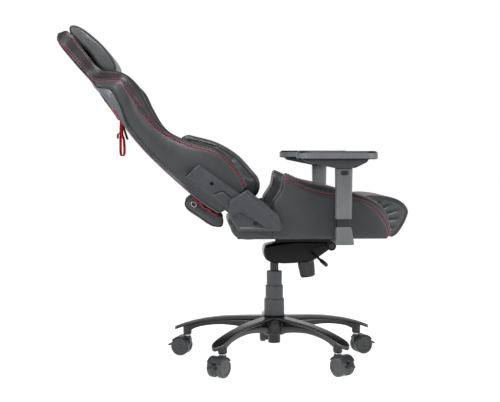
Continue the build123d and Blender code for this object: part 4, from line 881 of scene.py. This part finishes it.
for sideName, side in bothSides:
    nodeName = "arm_sleeve_" + sideName.lower()
    made = gridObject("armSleeve" + sideName, sleeveGrid(side), [sleevePaint])
    place(made, nodeName, [nodeName])
print("stage: housing, knob and sleeves")


def cushionGrid(shape):
    # side outline carried across, rounded in at both ends, each end closed by a slightly bulging side panel
    loop = closedLine(shape["line"], 110)
    half, radius = shape["half"], shape["round"]
    start = half - radius * (1 - np.sin(np.linspace(math.pi / 2, 0, 10)))
    final = radius * (1 - np.sin(np.linspace(0, math.pi / 2, 10))) - half
    v = np.concatenate([start, np.linspace(half - radius, radius - half, 40)[1:-1], final])
    scale = 1 - shape["draw"] * (1 - quarter((np.abs(v) - half + radius) / radius)) - 0.02 * (v / half) ** 2
    inner = np.array([0.05, 0.3, 0.55, 0.78, 0.92, 0.98])
    scale = np.concatenate([scale[0] * inner, scale, scale[-1] * inner[::-1]])
    swell = shape["swell"] * np.sqrt(1 - inner ** 2)
    v = np.concatenate([half + swell, v, -half - swell[::-1]])
    centre = loop.mean(0)
    flat = centre + (loop - centre) * scale[:, None, None]
    return backPoint(flat[..., 0], v[:, None], flat[..., 1])


def settled(path, made, lift):
    # each path point taken to the nearest point of a finished cover and raised along its normal
    shown = made.evaluated_get(bpy.context.evaluated_depsgraph_get()).to_mesh()
    at, normals = readRows(shown.vertices, "co") * 1000, readRows(shown.vertices, "normal")
    near = np.array([np.argmin(np.sum((at - point) ** 2, 1)) for point in path])
    found = at[near] + lift * normals[near]
    return (np.roll(found, 1, 0) + 2 * found + np.roll(found, -1, 0)) / 4


# blowing up of a cover: voxel of the remesh in m, frames run, and the cloth's settings
blowing = {
    "voxel": 0.005, "frames": 20,
    "cloth": {"use_pressure": True, "tension_stiffness": 12, "compression_stiffness": 12,
              "bending_stiffness": 0.4},
}


def inflate(made, pressure, most):
    # blows the cover up as cloth from a remeshed copy, keeps each point within most mm of the drawn form
    bpy.context.view_layer.objects.active = made
    remesh = made.modifiers.new("remesh", "REMESH")
    remesh.mode = "VOXEL"
    remesh.voxel_size = blowing["voxel"]
    bpy.ops.object.modifier_apply(modifier="remesh")
    drawn = readRows(made.data.vertices, "co")
    cloth = made.modifiers.new("cloth", "CLOTH")
    for key, value in blowing["cloth"].items():
        setattr(cloth.settings, key, value)
    cloth.settings.uniform_pressure_force = pressure
    cloth.settings.effector_weights.gravity = 0
    cloth.point_cache.frame_start, cloth.point_cache.frame_end = 1, blowing["frames"]
    for frameNumber in range(1, blowing["frames"] + 1):
        scene.frame_set(frameNumber)
    bpy.ops.object.modifier_apply(modifier="cloth")
    scene.frame_set(1)
    move = readRows(made.data.vertices, "co") - drawn
    size = np.linalg.norm(move, axis=1, keepdims=True)
    move *= np.minimum(1, most * 0.001 / np.maximum(size, 1e-9))
    made.data.vertices.foreach_set("co", (drawn + move).ravel())
    made.data.polygons.foreach_set("use_smooth", np.ones(len(made.data.polygons), bool))
    made.data.update()
    soften = made.modifiers.new("soften", "SUBSURF")
    soften.levels = soften.render_levels = 1


# loose cushions: side outline u n; half width, round of its ends, their draw to the middle and their swell
cushions = {
    "headPillow": {
        "line": [(616, -11), (718, -13), (800, -10), (814, -4), (817, 5), (811, 14), (800, 20), (780, 26),
                 (741, 32), (704, 34), (670, 32), (637, 27), (613, 17), (606, 3)],
        "half": 118, "round": 14, "draw": 0.06, "swell": 8, "blow": 4, "most": 3,
        "slot": "cushion_upholstery", "node": "head_pillow", "cloth": leatherPaintedLit, "fill": 0.7,
    },
    "lumbarCushion": {
        "line": [(306, -7), (190, 9), (50, 9), (22, 30), (15, 58), (34, 90), (90, 99), (150, 100),
                 (230, 79), (296, 40), (314, 29), (322, 11)],
        "half": 137, "round": 14, "draw": 0.12, "swell": 4, "blow": 4, "most": 4,
        "slot": "cushion_upholstery", "node": "lumbar_cushion", "cloth": leather, "fill": 0.75,
    },
    "rearPouch": {
        "line": [(44, -70), (62, -72), (110, -83), (150, -88), (160, -90.5), (165, -97), (167.5, -111),
                 (167.5, -119), (164, -127), (156, -133), (149, -133.5), (100, -125), (52, -115),
                 (44, -112.5), (26, -101), (19.5, -94), (24, -84), (35, -73)],
        "half": 100, "round": 6, "draw": 0.03, "swell": 4, "blow": 3, "most": 4,
        "slot": "pouch_cloth", "node": "rear_pouch", "cloth": bagCloth, "fill": 0.5,
    },
}
for name, shape in cushions.items():
    grid = cushionGrid(shape)
    made = gridObject(name, grid, [shape["cloth"]])
    inflate(made, shape["blow"], shape["most"])
    place(made, "backrest", [shape["node"]])
    for end, row in (("Left", 6), ("Right", len(grid) - 7)):
        welt = settled(grid[row], made, 0.4)
        welt = np.vstack([welt, welt[:1]])
        place(tube(name + "Welt" + end, welt, 1.5, blackClothAndHoleShade), "backrest")
print("stage: cushions")


# red webbing: a run sewn down the rear panel in u n, then a hanging length, twisted and looped
strap = {
    "x": -506.4, "fold": 794.1, "drop": 116, "width": 24, "thick": 3.8, "twist": 11, "twistOver": 30,
    "bend": 5.7, "apart": 6.5,
    "sewn": [(596, -75), (588, -81), (563, -85.6), (542, -88.6), (520, -91.8), (503, -94.5), (494, -88)],
}


def hanging(line):
    # x z line set about the fold, turned round the upright by a smooth step below it
    down = np.clip((strap["fold"] - line[:, 1]) / strap["twistOver"], 0, 1)
    angle = math.radians(strap["twist"]) * down**2 * (3 - 2 * down)
    away = line[:, 0] - strap["x"]
    path = joined(strap["x"] + away * np.cos(angle), -away * np.sin(angle), line[:, 1])
    return path, joined(np.sin(angle), np.cos(angle), 0.0)


run = outline(strap["sewn"], 40)
path = backPoint(run[:, 0], 0.0, run[:, 1])
made = ribbon("strapSewnRun", path, (0, 1, 0), strap["width"], strap["thick"], webbing)
place(made, "backrest")
x, foot = strap["x"], strap["fold"] - strap["drop"] + strap["thick"] / 2
turn = np.linspace(math.pi, 2 * math.pi, 13)
bend = strap["bend"]
bend = joined(x + strap["apart"] + bend * np.cos(turn), foot + bend + bend * np.sin(turn))
down = [(x, strap["fold"] + 1), (x + 0.6, foot + 72), (x, foot + 58), (x, foot + 40)]
back = [(x + 12.2, foot + 40), (x + 10, foot + 57), (x + 6, foot + 68), (x + 5, foot + 84),
        (x + 4.4, foot + 106)]
hang = np.vstack([down, bend, back])
path, sideways = hanging(outline(hang, 90))
made = ribbon("rearStrap", path, sideways, strap["width"], strap["thick"], webbing)
place(made, "rear_strap", ["rear_strap"])
path, sideways = hanging(outline([(x - 3, foot + 74), (x - 8, foot + 70), (x - 9, foot + 56)], 16))
place(ribbon("strapTab", path, sideways, 20, 3.0, webbing), "rear_strap")
# short black end that comes out of the panel beside the loop
tail = outline([(-494, 795), (-498, 787), (-496, 776), (-492, 764), (-487, 748), (-482, 733)], 26)
path = joined(tail[:, 0], -21.0, tail[:, 1])
place(ribbon("strapTail", path, (0.5, 0.87, 0), 10, 4.0, blackClothAndHoleShade), "backrest")
# webbing crumpled between the pouch and the back, and the ring it is threaded through
crumple = outline([(152, -92), (138, -96), (125, -91), (108, -93.5), (94, -87), (76, -86), (60, -79)], 60)
path = backPoint(crumple[:, 0], -105.5, crumple[:, 1])
place(ribbon("pouchStrap", path, (across[0], 0, across[1]), 7, 2.4, piping), "backrest")
turn = np.linspace(0, 2 * math.pi, 33)
path = backPoint(138 + 9 * np.cos(turn), -107.0, -108 + 7 * np.sin(turn))
place(tube("pouchRing", path, 1.4, brightSteel), "backrest")
print("stage: straps")


def seenRays(tree):
    # 1 for rays that end in the picture: straight, by reflection or through glass
    rays = addNode(tree, "ShaderNodeLightPath").outputs
    seen = rays["Is Camera Ray"]
    for kind in ("Is Glossy Ray", "Is Transmission Ray"):
        seen = addNode(tree, "ShaderNodeMath", {0: seen, 1: rays[kind]}, operation="MAXIMUM").outputs[0]
    return seen


# white paper under the chair: it takes shadows and glows a little to whoever looks at it
mesh = bpy.data.meshes.new("floor")
mesh.from_pydata([(-60, -60, 0), (60, -60, 0), (60, 60, 0), (-60, 60, 0)], [], [(0, 1, 2, 3)])
floor = bpy.data.objects.new("floor", mesh)
scene.collection.objects.link(floor)
paper = bpy.data.materials.new("paperSweepWhite")
paper.use_nodes = True
tree = paper.node_tree
matt = tree.nodes["Principled BSDF"]
matt.inputs["Base Color"].default_value = linear("#f2f2f2")
matt.inputs["Roughness"].default_value = 0.9
glow = addNode(tree, "ShaderNodeEmission", {"Color": (1, 1, 1, 1), "Strength": 2.25}).outputs[0]
share = addNode(tree, "ShaderNodeMath", {0: seenRays(tree), 1: 0.4}, operation="MULTIPLY").outputs[0]
mixed = addNode(tree, "ShaderNodeMixShader", {0: share, 1: matt.outputs[0], 2: glow})
tree.links.new(mixed.outputs[0], tree.nodes["Material Output"].inputs["Surface"])
mesh.materials.append(paper)

world = bpy.data.worlds.new("studio")
scene.world = world
world.use_nodes = True
tree = world.node_tree
# what is seen is a white wall all round under a dim ceiling; its light is brighter behind the chair
way = addNode(tree, "ShaderNodeTexCoord").outputs["Generated"]
way = addNode(tree, "ShaderNodeSeparateXYZ", {"Vector": way}).outputs
wall = {"Value": way["Z"], "From Min": 0.32, "From Max": 0.6, "To Min": 1.0, "To Max": 0.12}
behind = {"Value": way["Y"], "From Min": -0.2, "From Max": 0.35, "To Min": 0.16, "To Max": 0.9}
wall, behind = (addNode(tree, "ShaderNodeMapRange", ramp, interpolation_type="SMOOTHSTEP").outputs["Result"]
                for ramp in (wall, behind))
level = addNode(tree, "ShaderNodeMath", {0: behind, 1: wall}, operation="MULTIPLY").outputs[0]
shown = addNode(tree, "ShaderNodeMix", {"Factor": seenRays(tree), "A": level, "B": wall})
sky = tree.nodes["Background"]
sky.inputs["Color"].default_value = (1, 1, 1, 1)
tree.links.new(shown.outputs[0], sky.inputs["Strength"])


def facing(at, aim):
    return (Vector(aim) - Vector(at)).to_track_quat("-Z", "Y").to_euler()


# soft boxes over the chair and to both sides of the camera: place, aim and size in m, power in W
lamps = {
    "softTop": {"at": (-0.2, -0.9, 3.0), "aim": (-0.1, 0, 0.5), "size": (2.6, 0.9), "power": 110},
    "softLeft": {"at": (-2.6, -2.0, 1.9), "aim": (-0.2, 0, 0.6), "size": (0.9, 2.0), "power": 55},
    "softRight": {"at": (2.5, -1.6, 1.3), "aim": (0.1, 0, 0.5), "size": (0.8, 1.8), "power": 34},
}
for name, lamp in lamps.items():
    light = bpy.data.lights.new(name, "AREA")
    light.shape = "RECTANGLE"
    light.size, light.size_y = lamp["size"]
    light.energy = lamp["power"]
    holder = bpy.data.objects.new(name, light)
    scene.collection.objects.link(holder)
    holder.location, holder.rotation_euler = lamp["at"], facing(lamp["at"], lamp["aim"])

view = {"at": (-0.2582, -3.3809, 0.7039), "aim": (-0.081, 0, 0.530), "lens": 73.66, "sensor": 36}
camera = bpy.data.objects.new("camera", bpy.data.cameras.new("camera"))
scene.collection.objects.link(camera)
camera.data.lens, camera.data.sensor_width, camera.data.clip_end = view["lens"], view["sensor"], 200
camera.location, camera.rotation_euler = view["at"], facing(view["at"], view["aim"])
scene.camera = camera
scene.view_settings.view_transform = "Standard"

print("stage: done")
